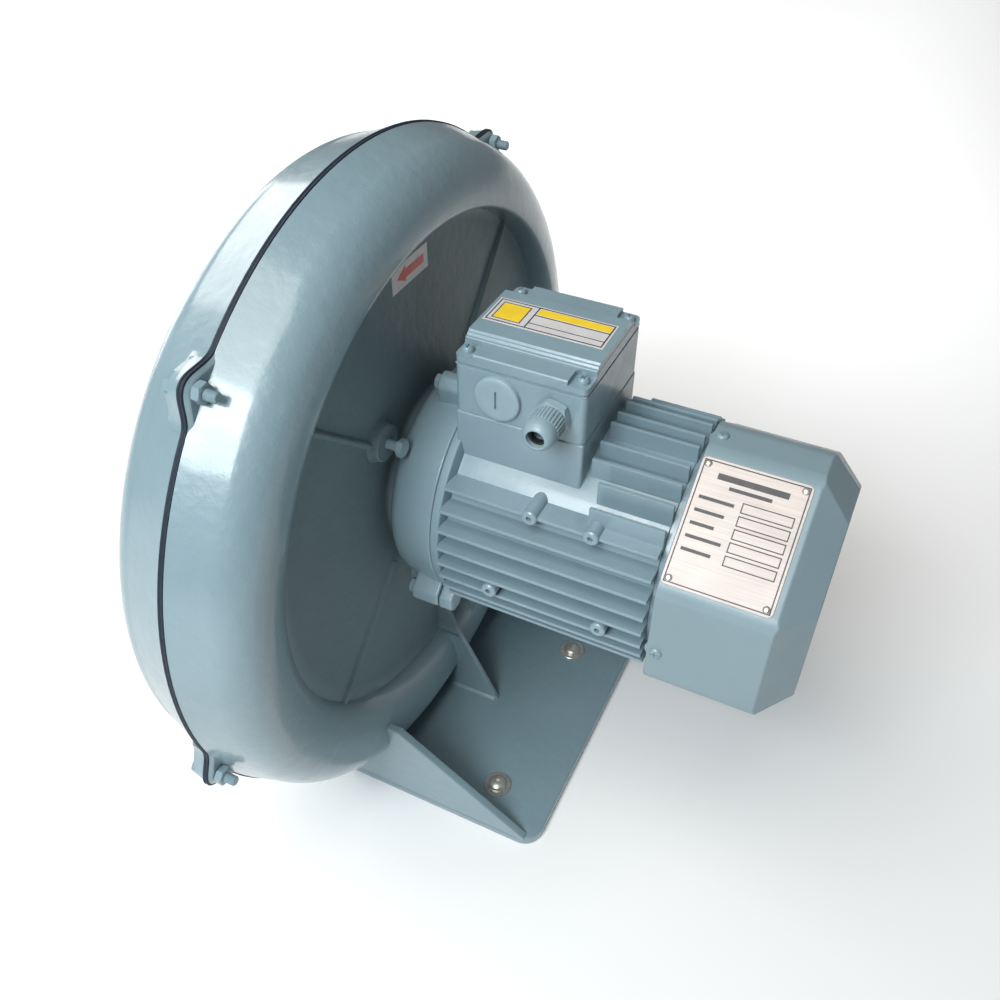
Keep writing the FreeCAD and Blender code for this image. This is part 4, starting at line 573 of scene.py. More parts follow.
@dataclass
class Fastener:
    """Screws, bolts and nuts, made along +X with the seat at the frame's origin."""

    hex_radius: float = 9.8
    head: float = 6.4
    shank: float = 5.0
    length: float = 30.0
    thread: float = 12.0
    pitch: float = 1.5

    def hexagon(self, start: float, end: float, both: bool = False) -> bpy.types.Object:
        """Makes a hexagon whose outer corners are turned off.

        Args:
            start: Where it begins along the axis.
            end: Where it ends.
            both: Whether both ends are turned, as on a nut.

        Returns:
            The hexagon.
        """
        ease = self.hex_radius * 0.13
        body = turned([(start, self.hex_radius), (end, self.hex_radius)], HOME, sides=6)
        lens = [(start, self.hex_radius - 1.7 * ease), (start + ease, self.hex_radius + 0.2)]
        lens += [(end - ease, self.hex_radius + 0.2), (end, self.hex_radius - 1.7 * ease)] if both \
            else [(end + 0.1, self.hex_radius + 0.2)]
        return carved(body, [turned(lens, HOME, sides=48)], "INTERSECT")

    def threaded(self, start: float, plain: float, end: float) -> bpy.types.Object:
        """Makes a shank, plain and then threaded, with a chamfered tip."""
        rings: list[Point] = [(start, self.shank)]
        if plain > start:
            rings.append((plain, self.shank))
        place = max(plain, start)
        while place + self.pitch < end - 1:
            rings += [(place + self.pitch / 2, self.shank * 0.88), (place + self.pitch, self.shank)]
            place += self.pitch
        rings += [(end - self.shank * 0.2, self.shank * 0.95), (end, self.shank * 0.75)]
        return turned(rings, HOME, sides=24)

    def bolt(self) -> bpy.types.Object:
        """Makes a hexagon bolt with its head behind the seat."""
        return joined([self.hexagon(-self.head, 0), self.threaded(-self.head / 2, self.length - self.thread,
                                                                  self.length)])

    def nut(self, thick: float) -> bpy.types.Object:
        """Makes a nut that begins at the seat."""
        bore = turned([(-1, self.shank + 0.05), (thick + 1, self.shank + 0.05)], HOME, sides=24)
        return carved(self.hexagon(0, thick, both=True), [bore])

    def pan(self, head_radius: float, rise: float, cross: bool = True) -> bpy.types.Object:
        """Makes a pan-head screw with a cross recess, its head behind the seat."""
        rings = [(-rise, head_radius * 0.45), (-rise * 0.92, head_radius * 0.7), (-rise * 0.6, head_radius * 0.93),
                 (-rise * 0.3, head_radius), (0, head_radius)]
        top = turned(rings, HOME, sides=32)
        if cross:
            arm = head_radius * 0.55
            wide = head_radius * 0.13
            x = SPLIT_BACK
            tools = [block((x - rise - 1, -arm, -wide - AXIS_HEIGHT), (x - rise * 0.45, arm, wide - AXIS_HEIGHT)),
                     block((x - rise - 1, -wide, -arm - AXIS_HEIGHT), (x - rise * 0.45, wide, arm - AXIS_HEIGHT))]
            for tool in tools:
                carved(top, [tool])
        return joined([top, self.threaded(-rise / 2, 0, self.length)])


@dataclass
class Casing(Assembly):
    """The two cast halves, the compound between them, their bolts, and the foot."""

    radius: float = 284
    shift: float = 10
    wall: float = 6
    half_gasket: float = 1
    lip: float = 0.8
    front_knee: float = 38
    front_knee_radius: float = 271
    front_depth: float = 58
    front_face_radius: float = 248
    shoulder: float = 20
    shoulder_radius: float = 278
    ridge: float = 56
    ridge_radius: float = 242
    ridge_shift: float = 17
    recess: float = 36
    recess_radius: float = 216
    recess_shift: float = 2
    flank_end: float = 0.24
    ear_angles: tuple[int, ...] = (48, 134, 200, 248, 326)
    ear_reach: float = 6
    ear_rise: float = 15.5
    ear_half: float = 27
    ear_thick: float = 10
    rear_ear_thick: float = 4
    ear_pivot: float = 270
    ear_bolt: float = 4
    ear_seat: float = 8.5
    pad_radius: float = 70
    pad_height: float = 8
    spigot: float = 55.05
    boss_pcd: float = 104
    boss_bore: float = 4
    boss_radius: float = 15
    boss_angles: tuple[int, ...] = (15, 135, 255)
    rib_angles: tuple[int, ...] = (48, 138, 221, 318)
    duct_drop: float = 232
    duct_radius: float = 52
    duct_bore_start: float = 100
    duct_end: float = 290
    foot_length: float = 204
    foot_half: float = 134
    foot_thick: float = 10
    sides: int = 180

    def front_profile(self, inset: float, start: float) -> list[Point]:
        """Rings of the front half from the split to its flat face, inset by a wall."""
        rings: list[Point] = [(start, self.radius - inset, self.shift)]
        rings.append((-(self.front_knee - inset * 0.3), self.front_knee_radius - inset, self.shift))
        for turn in quarter(10):
            depth = self.front_knee - inset + (self.front_depth - self.front_knee) * math.sin(turn)
            across = self.front_face_radius - inset
            across += (self.front_knee_radius - self.front_face_radius) * math.cos(turn)
            rings.append((-depth, across, self.shift))
        return rings

    def rear_profile(self, inset: float, start: float) -> list[Point]:
        """Rings of the rear half from the split over the ridge into the recess, inset by a wall."""
        rings: list[Point] = [(start, self.radius - inset, self.shift)]
        for turn in quarter(18):
            if math.sin(turn) < self.flank_end:
                continue
            x = self.shoulder + (self.ridge - self.shoulder - inset) * math.sin(turn)
            across = self.ridge_radius + (self.shoulder_radius - self.ridge_radius - inset) * math.cos(turn)
            rings.append((x, across, self.shift + (self.ridge_shift - self.shift) * (1 - math.cos(turn))))
        for turn in quarter(10):
            x = self.recess - inset + (self.ridge - self.recess) * math.cos(turn)
            across = self.ridge_radius - (self.ridge_radius - self.recess_radius - inset) * math.sin(turn)
            rings.append((x, across, self.ridge_shift - (self.ridge_shift - self.recess_shift) * math.sin(turn)))
        return rings

    def ear_outline(self, lip: float = 0.0) -> list[Point]:
        """Outline of an ear on +Y: a smooth rise out of the casing's rim, closed inside the wall.

        Args:
            lip: How far the outline stands proud of the casting's own.

        Returns:
            Its corners as y and z about the casing's centre line.
        """
        points: list[Point] = []
        steps = 16
        for step in range(-steps, steps + 1):
            across = self.ear_half * step / steps
            lift = self.ear_rise * math.cos(math.pi / 2 * step / steps) ** 2
            points.append((math.sqrt((self.radius + lip) ** 2 - across ** 2) + lift, across))
        return [*points, (self.ear_pivot, self.ear_half * 0.8), (self.ear_pivot, -self.ear_half * 0.8)]

    def ear(self, side: int) -> bpy.types.Object:
        """Makes one ear on +Y: a plate at the split with the bolt's hole, and on the front half a rib tapering along
        the wall with a seat for the bolt.

        Args:
            side: 1 for the rear half, -1 for the front half.

        Returns:
            The ear, about the casing's centre line.
        """
        first = self.half_gasket
        last = first + (self.rear_ear_thick if side > 0 else self.ear_thick)
        full = (0.9, 0.92) if side > 0 else (0.9, 0.95)
        stations = [(side * first, 0.975, 0.98), (side * (first + 0.6), 0.99, 0.99), (side * (last - 1.2), *full),
                    (side * (last - 0.3), full[0] - 0.03, full[1] - 0.03), (side * last, full[0] - 0.07, full[1] - 0.06)]
        pivot = (self.ear_pivot, 0)
        plate = swept(self.ear_outline(), stations, pivot)
        spot = (0, self.radius + self.ear_reach, 0)
        hole = [(-30, self.ear_bolt + 0.5), (30, self.ear_bolt + 0.5)]
        carved(plate, [turned(hole, spot, sides=24)])
        if side > 0:
            return plate
        stations = [(-first, 0.72, 0.86), (-last - 2, 0.66, 0.8), (-last - 6, 0.52, 0.66), (-last - 10, 0.38, 0.5),
                    (-last - 14, 0.26, 0.36), (-last - 18, 0.14, 0.24)]
        rib = swept(self.ear_outline(), stations, pivot)
        seat = [(-last - 40, self.ear_seat), (-last, self.ear_seat)]
        carved(rib, [turned(seat, spot, sides=40)])
        carved(rib, [turned(hole, spot, sides=24)])
        return joined([plate, rib])

    def ears(self, side: int) -> list[bpy.types.Object]:
        """Makes all ears of one half."""
        model = self.ear(side)
        off = Matrix.Translation(Vector((0, -self.shift, -self.shift)) * MM)
        made = [copy_of(model, off @ about_shaft(angle)) for angle in self.ear_angles]
        drop(model)
        return made

    def duct(self, side: int) -> bpy.types.Object:
        """Makes one half of the outlet duct as a solid round bar cut along the split plane."""
        bar = turned([(40, self.duct_radius), (self.duct_end, self.duct_radius)], (0, 0, -self.duct_drop), Axis.Y, 96)
        with editing(bar):
            bpy.ops.mesh.select_all(action="SELECT")
            bpy.ops.mesh.bisect(plane_co=at(side * self.half_gasket, 0, 0), plane_no=(-side, 0, 0), use_fill=True,
                                clear_outer=True)
        if side > 0:
            clear = turned([(self.recess, self.recess_radius), (2 * self.recess, self.recess_radius)],
                           (0, -self.recess_shift, -self.recess_shift), sides=self.sides)
            carved(bar, [clear])
        return bar

    def bore(self) -> bpy.types.Object:
        """Makes the tool that opens the outlet duct."""
        inner = self.duct_radius - self.wall
        return turned([(self.duct_bore_start, inner), (self.duct_end + 20, inner)], (0, 0, -self.duct_drop), Axis.Y, 96)

    def front(self) -> None:
        """Builds the front half."""
        outer = self.front_profile(0, -self.half_gasket - 0.7)
        inner = self.front_profile(self.wall, -self.half_gasket)
        rings = [(-self.half_gasket, self.radius - 0.7, self.shift), *outer, (-self.front_depth, 76.5, 0),
                 (-self.front_depth + self.wall, 76.5, 0), *reversed(inner)]
        shell = turned(rings, sides=self.sides, loop=True)
        carved(shell, [self.bore()])
        pipe = carved(self.duct(-1), [self.bore()])
        shell = joined([shell, pipe, *self.ears(-1)])
        self.settle(shaded(shell), "casing_front_half", CAST_ENAMEL, "front_casing")

    def web_details(self) -> list[bpy.types.Object]:
        """Makes the web's bosses and low ribs."""
        made = []
        base = self.recess - self.wall / 2
        top = self.recess + self.pad_height
        for angle in self.boss_angles:
            y, z = polar(self.boss_pcd, angle)
            rings = [(base, self.boss_radius + 3), (self.recess, self.boss_radius + 3),
                     (self.recess + 1, self.boss_radius + 1.2), (self.recess + 3, self.boss_radius + 0.3),
                     (top - 1, self.boss_radius), (top, self.boss_radius - 0.8)]
            boss = turned(rings, (0, y, z), sides=48)
            hole = turned([(base - 1, self.boss_bore), (top + 1, self.boss_bore)], (0, y, z), sides=24)
            made.append(carved(boss, [hole]))
        rib = block((base, 92, -4), (self.recess + 3.4, 222, 4),
                    [((self.recess, 0, 3.4), (0.7, 0, 1)), ((self.recess, 0, -3.4), (0.7, 0, -1))], soft=1)
        made += [copy_of(rib, about_shaft(angle)) for angle in self.rib_angles]
        drop(rib)
        return made

    def foot(self) -> bpy.types.Object:
        """Makes the foot plate, the wall that ties it to the casing, and its three gussets."""
        low = -AXIS_HEIGHT
        plate = block((1, -self.foot_half, low), (self.foot_length, self.foot_half, low + self.foot_thick))
        with editing(plate, "EDGE"):
            pick_edges(plate, lambda middle, way: abs(way.z) > 0.9 and middle.x > 0)
            bpy.ops.mesh.bevel(offset=0.018, segments=10)
        rounded(plate, 1.8, 3, 50)
        for side in (-1, 1):
            y = side * 92.5
            slot = joined([block((139.5, y - 6.5, low - 5), (152.5, y + 6.5, low + 20)),
                           turned([(-5, 6.5), (20, 6.5)], (139.5, y, low), Axis.Z, 32),
                           turned([(-5, 6.5), (20, 6.5)], (152.5, y, low), Axis.Z, 32)])
            for part in self.parts_of(slot):
                carved(plate, [part])
        top = low + self.foot_thick
        made = [plate, block((1, -self.foot_half, top - 3), (10, self.foot_half, -262), soft=1.5)]
        thick = 8
        for side in (-1, 1):
            edge = side * self.foot_half
            near, far = sorted((edge, edge - side * thick))
            made.append(block((1, near, top - 4), (193, far, -211),
                              [((193, 0, top + 1), (87, 0, 128)), ((1, 0, -262), (-51, 0, 35))], soft=1.6))
        knee = -217
        middle = 2.5
        slope = ((1, 0, -262), (-144, 0, 32))
        made.append(block((1, -middle, top - 4), (102, middle, knee + 0.4), [((102, 0, top + 1), (80, 0, 41)), slope],
                          soft=1.1))
        made.append(block((1, -middle, knee - 3), (80, middle, -150), [((61, 0, knee), (57, 0, 23)), slope], soft=1.1))
        made.append(block((12, -middle - 3, top - 3), (99, middle + 3, top + 3),
                          [((0, middle, top + 3), (0, 1, 1)), ((0, -middle, top + 3), (0, -1, 1))], soft=0.8))
        return joined(made)

    def parts_of(self, obj: bpy.types.Object) -> list[bpy.types.Object]:
        """Splits a joined tool into its loose parts."""
        only(obj)
        bpy.ops.object.mode_set(mode="EDIT")
        bpy.ops.mesh.separate(type="LOOSE")
        bpy.ops.object.mode_set(mode="OBJECT")
        return list(bpy.context.selected_objects)

    def rear(self) -> None:
        """Builds the rear half with its web and foot."""
        outer = self.rear_profile(0, self.half_gasket + 0.7)
        inner = self.rear_profile(self.wall, self.half_gasket)
        top = self.recess + self.pad_height
        rings = [(self.half_gasket, self.radius - 0.7, self.shift), *outer, (self.recess, self.pad_radius + 5, 0),
                 (self.recess + 0.8, self.pad_radius + 2.2, 0), (self.recess + 2.4, self.pad_radius + 0.6, 0),
                 (top - 1.2, self.pad_radius, 0), (top, self.pad_radius - 1.2, 0), (top, self.spigot, 0),
                 (self.recess - self.wall, self.spigot, 0), *reversed(inner)]
        shell = turned(rings, sides=self.sides, loop=True)
        carved(shell, [self.bore()])
        pipe = carved(self.duct(1), [self.bore()])
        foot = self.foot()
        shell = joined([shell, pipe, foot, *self.web_details(), *self.ears(1)])
        self.settle(shaded(shell), "casing_rear_half", CAST_ENAMEL, "rear_casing")

    def compound(self) -> None:
        """Builds the bead of sealing compound squeezed out along the split, with its rise round the ears."""
        edge = self.half_gasket + 1.3
        rim = self.radius
        lens = [(-edge, rim - 4), (-edge, rim - 0.3), (-0.85 * edge, rim + 0.5), (-0.6 * edge, rim + 0.8),
                (-0.3 * edge, rim + 0.6), (-0.12 * edge, rim + 0.1), (0, rim)]
        rings = lens + [(-x, radius) for x, radius in reversed(lens[:-1])]
        pieces = [turned(rings, (0, -self.shift, -self.shift), sides=self.sides, loop=True)]
        half = [(-1, 0.99, 0.99), (-0.85, 1.026, 1.02), (-0.6, 1.036, 1.028), (-0.3, 1.028, 1.022),
                (-0.12, 1.006, 1.006), (0, 1.003, 1.003)]
        stations = [(share * edge, y, z) for share, y, z in half + [(-s, y, z) for s, y, z in reversed(half[:-1])]]
        rise = swept(self.ear_outline(), stations, (self.ear_pivot, 0))
        off = Matrix.Translation(Vector((0, -self.shift, -self.shift)) * MM)
        pieces += [copy_of(rise, off @ about_shaft(angle)) for angle in self.ear_angles]
        drop(rise)
        for side in (-1, 1):
            z = -self.duct_drop + side * (self.duct_radius - self.wall / 2)
            pieces.append(block((-self.half_gasket, 60, z - self.wall / 2 - 0.3),
                                (self.half_gasket, self.duct_end - 1, z + self.wall / 2 + 0.3), soft=0.3, steps=1))
        self.settle(shaded(joined(pieces), flats=False), "casing_compound", COMPOUND, "casing_gasket")

    def bolts(self) -> None:
        """Builds the bolts and nuts through the ears."""
        nut_thick = 6.6
        grip = self.ear_thick + self.rear_ear_thick + 2 * self.half_gasket
        kit = Fastener(hex_radius=7.5, head=5.3, shank=self.ear_bolt, length=grip + nut_thick + 9, thread=20,
                       pitch=1.25)
        back = self.half_gasket + self.rear_ear_thick
        for model, name, node, start in ((kit.bolt(), "casing_bolt_set", "casing_bolts",
                                          -self.half_gasket - self.ear_thick),
                                         (kit.nut(nut_thick), "casing_nut_set", "casing_nuts", back)):
            copies = []
            for index, angle in enumerate(self.ear_angles):
                y, z = polar(self.radius + self.ear_reach, angle)
                spot = Matrix.Translation(at(start, y - self.shift, z - self.shift))
                copies.append(copy_of(model, spot @ Matrix.Rotation(0.4 + 0.7 * index, 4, "X")))
            drop(model)
            self.settle(shaded(joined(copies), 30), name, MOTOR_ENAMEL, node)

    def build(self) -> None:
        """Builds every piece of the casing."""
        self.front()
        self.rear()
        self.compound()
        self.bolts()


@dataclass
class Motor(Assembly):
    """The finned frame, its drive end shield and the bolts that hold it."""

    face: float = 44
    groove: float = 89
    shield_radius: float = 96.5
    core_radius: float = 87
    bore: float = 79
    end: float = 266
    fin_radius: float = 101
    fin_thick: float = 3.4
    fin_pitch: float = 16
    ring_length: float = 8
    lug_angles: tuple[int, ...] = (101, 221, 341)
    lug_reach: float = 105
    lug_radius: float = 10
    lug_start: float = 64
    lug_length: float = 13
    bolt_angles: tuple[int, ...] = (15, 135, 255)
    bolt_pcd: float = 104
    box_x: float = 143.5
    box_half: float = 50.8
    box_wide: float = 53.2
    box_base: float = 108.5

    def lug(self, start: float, end: float, radius: float) -> bpy.types.Object:
        """Makes a clamping lug on +Y between two stations along the shaft."""
        reach = self.lug_reach
        return block((start, self.bore, -radius), (end, reach + radius, radius),
                     [((0, reach + radius * 0.35, radius), (0, 1, 1)), ((0, reach + radius * 0.35, -radius), (0, 1, -1))],
                     soft=2.2)

    def shield(self) -> None:
        """Builds the drive end shield with its ears and lugs."""
        face, groove, radius = self.face, self.groove, self.shield_radius
        rings = [(face - 6, 31), (face - 6, 54), (face - 5, 55), (face, 55), (face, 74.5), (face + 0.8, 76),
                 (face + 3, 82), (face + 5, 86.4), (face + 8, 89.8), (face + 12, 91.8), (face + 17, 92.8),
                 (groove - 14, radius - 1.2), (groove - 1.4, radius), (groove - 0.5, radius - 0.5),
                 (groove, radius - 1.4), (groove, self.bore), (groove + 6, self.bore), (groove + 6, self.bore - 4),
                 (face + 8, self.bore - 6), (face + 8, 31)]
        drum = turned(rings, sides=128, loop=True)
        pieces = [drum]
        ear = joined([turned([(0, 14), (8.6, 14), (9.6, 13.4), (10, 12.2)], (face, self.bolt_pcd, 0), sides=40),
                      block((face, 70, -14), (face + 10, self.bolt_pcd, 14), soft=1.4)])
        carved(ear, [turned([(-5, 4.5), (15, 4.5)], (face, self.bolt_pcd, 0), sides=24)])
        pieces += [copy_of(ear, about_shaft(angle)) for angle in self.bolt_angles]
        lug = self.lug(self.lug_start, self.groove - 0.4, self.lug_radius)
        pieces += [copy_of(lug, about_shaft(angle)) for angle in self.lug_angles]
        drop(ear, lug)
        self.settle(shaded(joined(pieces)), "drive_shield_casting", MOTOR_ENAMEL, "drive_end_shield")

    def bolts(self) -> None:
        """Builds the flange bolts, heads towards the motor, and the tie bolts, heads towards the casing."""
        big = Fastener(hex_radius=7.5, head=5.3, shank=3.95, length=22, pitch=1.25).bolt()
        turn = Matrix.Rotation(math.pi, 4, "Z")
        copies = []
        for index, angle in enumerate(self.bolt_angles):
            place = Matrix.Translation(at(self.face + 10, *polar(self.bolt_pcd, angle)))
            copies.append(copy_of(big, place @ turn @ Matrix.Rotation(0.3 + index, 4, "X")))
        self.settle(shaded(joined(copies), 30), "motor_bolt_set", MOTOR_ENAMEL, "motor_bolts")
        small = Fastener(hex_radius=6.4, head=5, shank=2.95, length=36).bolt()
        copies = []
        for index, angle in enumerate(self.lug_angles):
            place = Matrix.Translation(at(self.lug_start, *polar(self.lug_reach, angle)))
            copies.append(copy_of(small, place @ Matrix.Rotation(0.5 + index, 4, "X")))
        drop(big, small)
        self.settle(shaded(joined(copies), 30), "tie_bolt_set", MOTOR_ENAMEL, "tie_bolts")

    def fin(self, low: Point, high: Point) -> bpy.types.Object:
        """Makes one cooling fin with rounded edges."""
        return block(low, high, soft=1.0, steps=2)

    def fins(self) -> list[bpy.types.Object]:
        """Makes every fin of the frame."""
        start = self.groove + self.ring_length
        half = self.fin_thick / 2
        made = []
        for row in range(-4, 4):
            z = (row + 0.5) * self.fin_pitch
            tip = math.sqrt(self.fin_radius ** 2 - z ** 2)
            for side in (-1, 1):
                near, far = sorted((side * tip, side * 55))
                made.append(self.fin((start, near, z - half), (self.end, far, z + half)))
        behind = self.box_x + self.box_half + self.fin_thick
        for row in range(-3, 4):
            y = row * self.fin_pitch
            tip = math.sqrt(self.fin_radius ** 2 - y ** 2)
            made.append(self.fin((start, y - half, -tip), (self.end, y + half, -60)))
        for row, place in enumerate((7, 27, 41.7, 56.4, 71.1)):
            tip = math.sqrt(self.fin_radius ** 2 - place ** 2)
            root = math.sqrt((self.core_radius - 3) ** 2 - place ** 2) - 4
            for y in (-place, place):
                made.append(self.fin((behind if row < 3 else behind + 11, y - half, root), (self.end, y + half, tip)))
        return made

    def bosses(self) -> list[bpy.types.Object]:
        """Makes the round bosses with tapped holes on both flanks."""
        made = []
        for x, z, reach in ((168, 56, 86), (216, 56, 86), (143, -16, 103), (233, -16, 103)):
            for side in (-1, 1):
                rings = [(side * 60, 6.2), (side * (reach - 1), 6.2), (side * reach, 5.2), (side * reach, 2.2),
                         (side * (reach - 6), 2.2), (side * (reach - 6), 0.5)]
                made.append(turned(rings, (x, 0, z), Axis.Y, 32))
        return made

    def frame(self) -> None:
        """Builds the frame: tube, ring, fins, lugs, bosses and the pedestal under the box."""
        start, end, radius = self.groove, self.end, self.shield_radius
        rings = [(start, self.bore), (start, radius - 1.4), (start + 0.5, radius - 0.5), (start + 1.4, radius),
                 (start + self.ring_length - 1, radius), (start + self.ring_length, radius - 1),
                 (start + self.ring_length + 2, self.core_radius), (end - 1, self.core_radius),
                 (end, self.core_radius - 1), (end, self.bore)]
        pieces = [turned(rings, sides=128, loop=True), *self.fins(), *self.bosses()]
        lug = self.lug(start + 0.4, start + self.lug_length, self.lug_radius)
        pieces += [copy_of(lug, about_shaft(angle)) for angle in self.lug_angles]
        drop(lug)
        pieces.append(block((self.box_x - self.box_half, -self.box_wide, 52), (self.box_x + self.box_half,
                                                                              self.box_wide, self.box_base), soft=2.2))
        self.settle(shaded(joined(pieces)), "motor_frame_casting", MOTOR_ENAMEL, "motor_frame")

    def build(self) -> None:
        """Builds every piece of the motor's body."""
        self.shield()
        self.frame()
        self.bolts()


@dataclass
class TerminalBox(Assembly):
    """The box on the motor: body, seal, lid, screws, blanking plug and cable gland."""

    x: float = 143.5
    half_x: float = 50.8
    half_y: float = 53.2
    base: float = 108.5
    top: float = 149
    seal: float = 1
    lid: float = 10
    screw: float = 44
    plateau: float = 30.5
    rise: float = 5
    plug_x: float = 127.5
    plug_z: float = 129.5
    gland_x: float = 171
    gland_z: float = 130

    def shell(self) -> None:
        """Builds the box body with its holes."""
        body = block((self.x - self.half_x, -self.half_y, self.base), (self.x + self.half_x, self.half_y, self.top))
        with editing(body, "EDGE"):
            pick_edges(body, lambda middle, way: abs(way.z) > 0.9)
            bpy.ops.mesh.bevel(offset=0.005, segments=6)
        rounded(body, 1.2, 2, 50)
        carved(body, [turned([(-6, 16), (12, 16)], (self.plug_x, -self.half_y, self.plug_z), Axis.Y, 48)])
        carved(body, [turned([(-6, 10), (12, 10)], (self.gland_x, -self.half_y, self.gland_z), Axis.Y, 40)])
        self.settle(shaded(body), "terminal_box_shell", MOTOR_ENAMEL, "terminal_box")

    def cover(self) -> None:
        """Builds the lid with its raised middle and sunk screw seats."""
        low = self.top + self.seal
        high = low + self.lid
        plate = block((self.x - self.half_x, -self.half_y, low), (self.x + self.half_x, self.half_y, high))
        with editing(plate, "EDGE"):
            pick_edges(plate, lambda middle, way: abs(way.z) > 0.9)
            bpy.ops.mesh.bevel(offset=0.005, segments=6)
        rounded(plate, 1.6, 3, 50)
        side = [(self.plateau + 5.2, -2), (self.plateau + 5.2, 1), (self.plateau + 4.7, 1.5), (self.plateau + 3, 1.6),
                (self.plateau + 2.5, 2), (self.plateau + 2.1, 2.9), (self.plateau + 1.5, 3.3),
                (self.plateau + 0.3, 3.4), (self.plateau - 0.1, 3.8), (self.plateau - 0.5, self.rise - 0.3),
                (self.plateau - 1, self.rise)]
        outline = [(y, high + z) for y, z in side] + [(-y, high + z) for y, z in reversed(side)]
        ends = (self.x - self.half_x, self.x + self.half_x)
        crown = swept(outline, [(ends[0] + 0.3, 0.99, 1), (ends[0] + 0.8, 1, 1), (ends[1] - 0.8, 1, 1),
                                (ends[1] - 0.3, 0.99, 1)], (0, high - 2))
        for side_x in (-1, 1):
            for side_y in (-1, 1):
                x, y = self.x + side_x * self.screw, side_y * self.screw
                xs, ys = sorted((x - side_x * 8, x + side_x * 20)), sorted((y - side_y * 8, y + side_y * 20))
                notch = block((xs[0], ys[0], high - 3.8), (xs[1], ys[1], high + 12))
                with editing(notch, "EDGE"):
                    pick_edges(notch, lambda middle, way: abs(way.z) > 0.9)
                    bpy.ops.mesh.bevel(offset=0.005, segments=5)
                hole = turned([(-14, 2.7), (-3, 2.7)], (x, y, high), Axis.Z, 20)
                for tool in (notch, hole):
                    carved(plate, [tool])
        lid = joined([plate, crown])
        self.settle(shaded(lid), "terminal_box_lid", MOTOR_ENAMEL, "terminal_lid")
        seal = block((self.x - self.half_x + 0.7, -self.half_y + 0.7, self.top),
                     (self.x + self.half_x - 0.7, self.half_y - 0.7, low), soft=0.2, steps=1)
        self.settle(shaded(seal), "lid_seal_strip", MOTOR_ENAMEL, "lid_gasket")

    def screws(self) -> None:
        """Builds the lid's four pan-head screws."""
        model = Fastener(shank=2.45, length=19, pitch=0.9).pan(4.6, 4.4)
        down = Matrix.Rotation(math.pi / 2, 4, "Y")
        seat = self.top + self.seal + self.lid - 4
        copies = []
        for index, (side_x, side_y) in enumerate(((-1, -1), (-1, 1), (1, -1), (1, 1))):
            place = Matrix.Translation(at(self.x + side_x * self.screw, side_y * self.screw, seat))
            copies.append(copy_of(model, place @ down @ Matrix.Rotation(0.4 * index, 4, "X")))
        drop(model)
        self.settle(shaded(joined(copies), 30), "lid_screw_set", MOTOR_ENAMEL, "lid_screws")

    def plug(self) -> None:
        """Builds the slotted blanking plug."""
        spot = (self.plug_x, -self.half_y, self.plug_z)
        disc = turned([(-4, 12), (-4, 15.6), (-3.4, 17.4), (-2.6, 18), (0, 18)], spot, Axis.Y, 64)
        carved(disc, [block((self.plug_x - 1.1, -self.half_y - 6, self.plug_z - 7.5),
                            (self.plug_x + 1.1, -self.half_y - 2, self.plug_z + 7.5))])
        stem = turned([(-1, 15.9), (5, 15.9)], spot, Axis.Y, 48)
        self.settle(shaded(joined([disc, stem])), "plug_moulding", GREY_PLASTIC, "blank_plug")

    def gland(self) -> None:
        """Builds the cable gland: hexagon, ribbed cap and rubber seal."""
        spot = (self.gland_x, -self.half_y, self.gland_z)
        hexagon = Fastener(hex_radius=14).hexagon(0, 8, both=True)
        moved(hexagon, Matrix.Translation(at(self.gland_x, -self.half_y - 8, self.gland_z))
              @ Matrix.Rotation(math.pi / 2, 4, "Z") @ Matrix.Rotation(0.26, 4, "X"))
        tube = turned([(-24, 8.8), (-6, 8.8), (-6, 9.9), (8, 9.9), (8, 6), (-24, 6)], spot, Axis.Y, 48, loop=True)
        carved(hexagon, [turned([(-10, 8.5), (2, 8.5)], spot, Axis.Y, 48)])
        self.settle(shaded(joined([hexagon, tube]), 30), "gland_base", GREY_PLASTIC, "gland_body")
        end = -8 - 16
        cap = turned([(-8.2, 11.2), (-9, 12), (end + 2, 12), (end + 1.4, 12.2), (end - 1, 12.2), (end - 3.4, 11.9),
                      (end - 5.6, 11.1), (end - 7.4, 9.9), (end - 8.6, 8.6), (end - 9, 7.6), (end - 8.8, 7),
                      (end - 8, 6.8), (end - 4.6, 6.8), (end - 4.6, 8.4), (end - 0.1, 8.4), (end - 0.1, 8.95),
                      (-8.2, 8.95)], spot, Axis.Y, 64, loop=True)
        ribs = []
        rib = block((self.gland_x - 0.65, -self.half_y + end + 2, self.gland_z + 11.2),
                    (self.gland_x + 0.65, -self.half_y - 9, self.gland_z + 12.7), soft=0.35, steps=1)
        pivot = at(*spot)
        for index in range(30):
            turn = Matrix.Translation(pivot) @ Matrix.Rotation(math.tau * index / 30, 4, "Y")
            ribs.append(copy_of(rib, turn @ Matrix.Translation(-pivot)))
        drop(rib)
        self.settle(shaded(joined([cap, *ribs]), 35), "gland_cap", GREY_PLASTIC, "gland_nut")
        seal = turned([(end - 4.4, 5.2), (end - 4.4, 8.2), (end - 0.2, 8.2), (end - 0.2, 5.2)], spot, Axis.Y, 48,
                      loop=True)
        self.settle(shaded(seal), "gland_ring", RUBBER, "gland_seal")

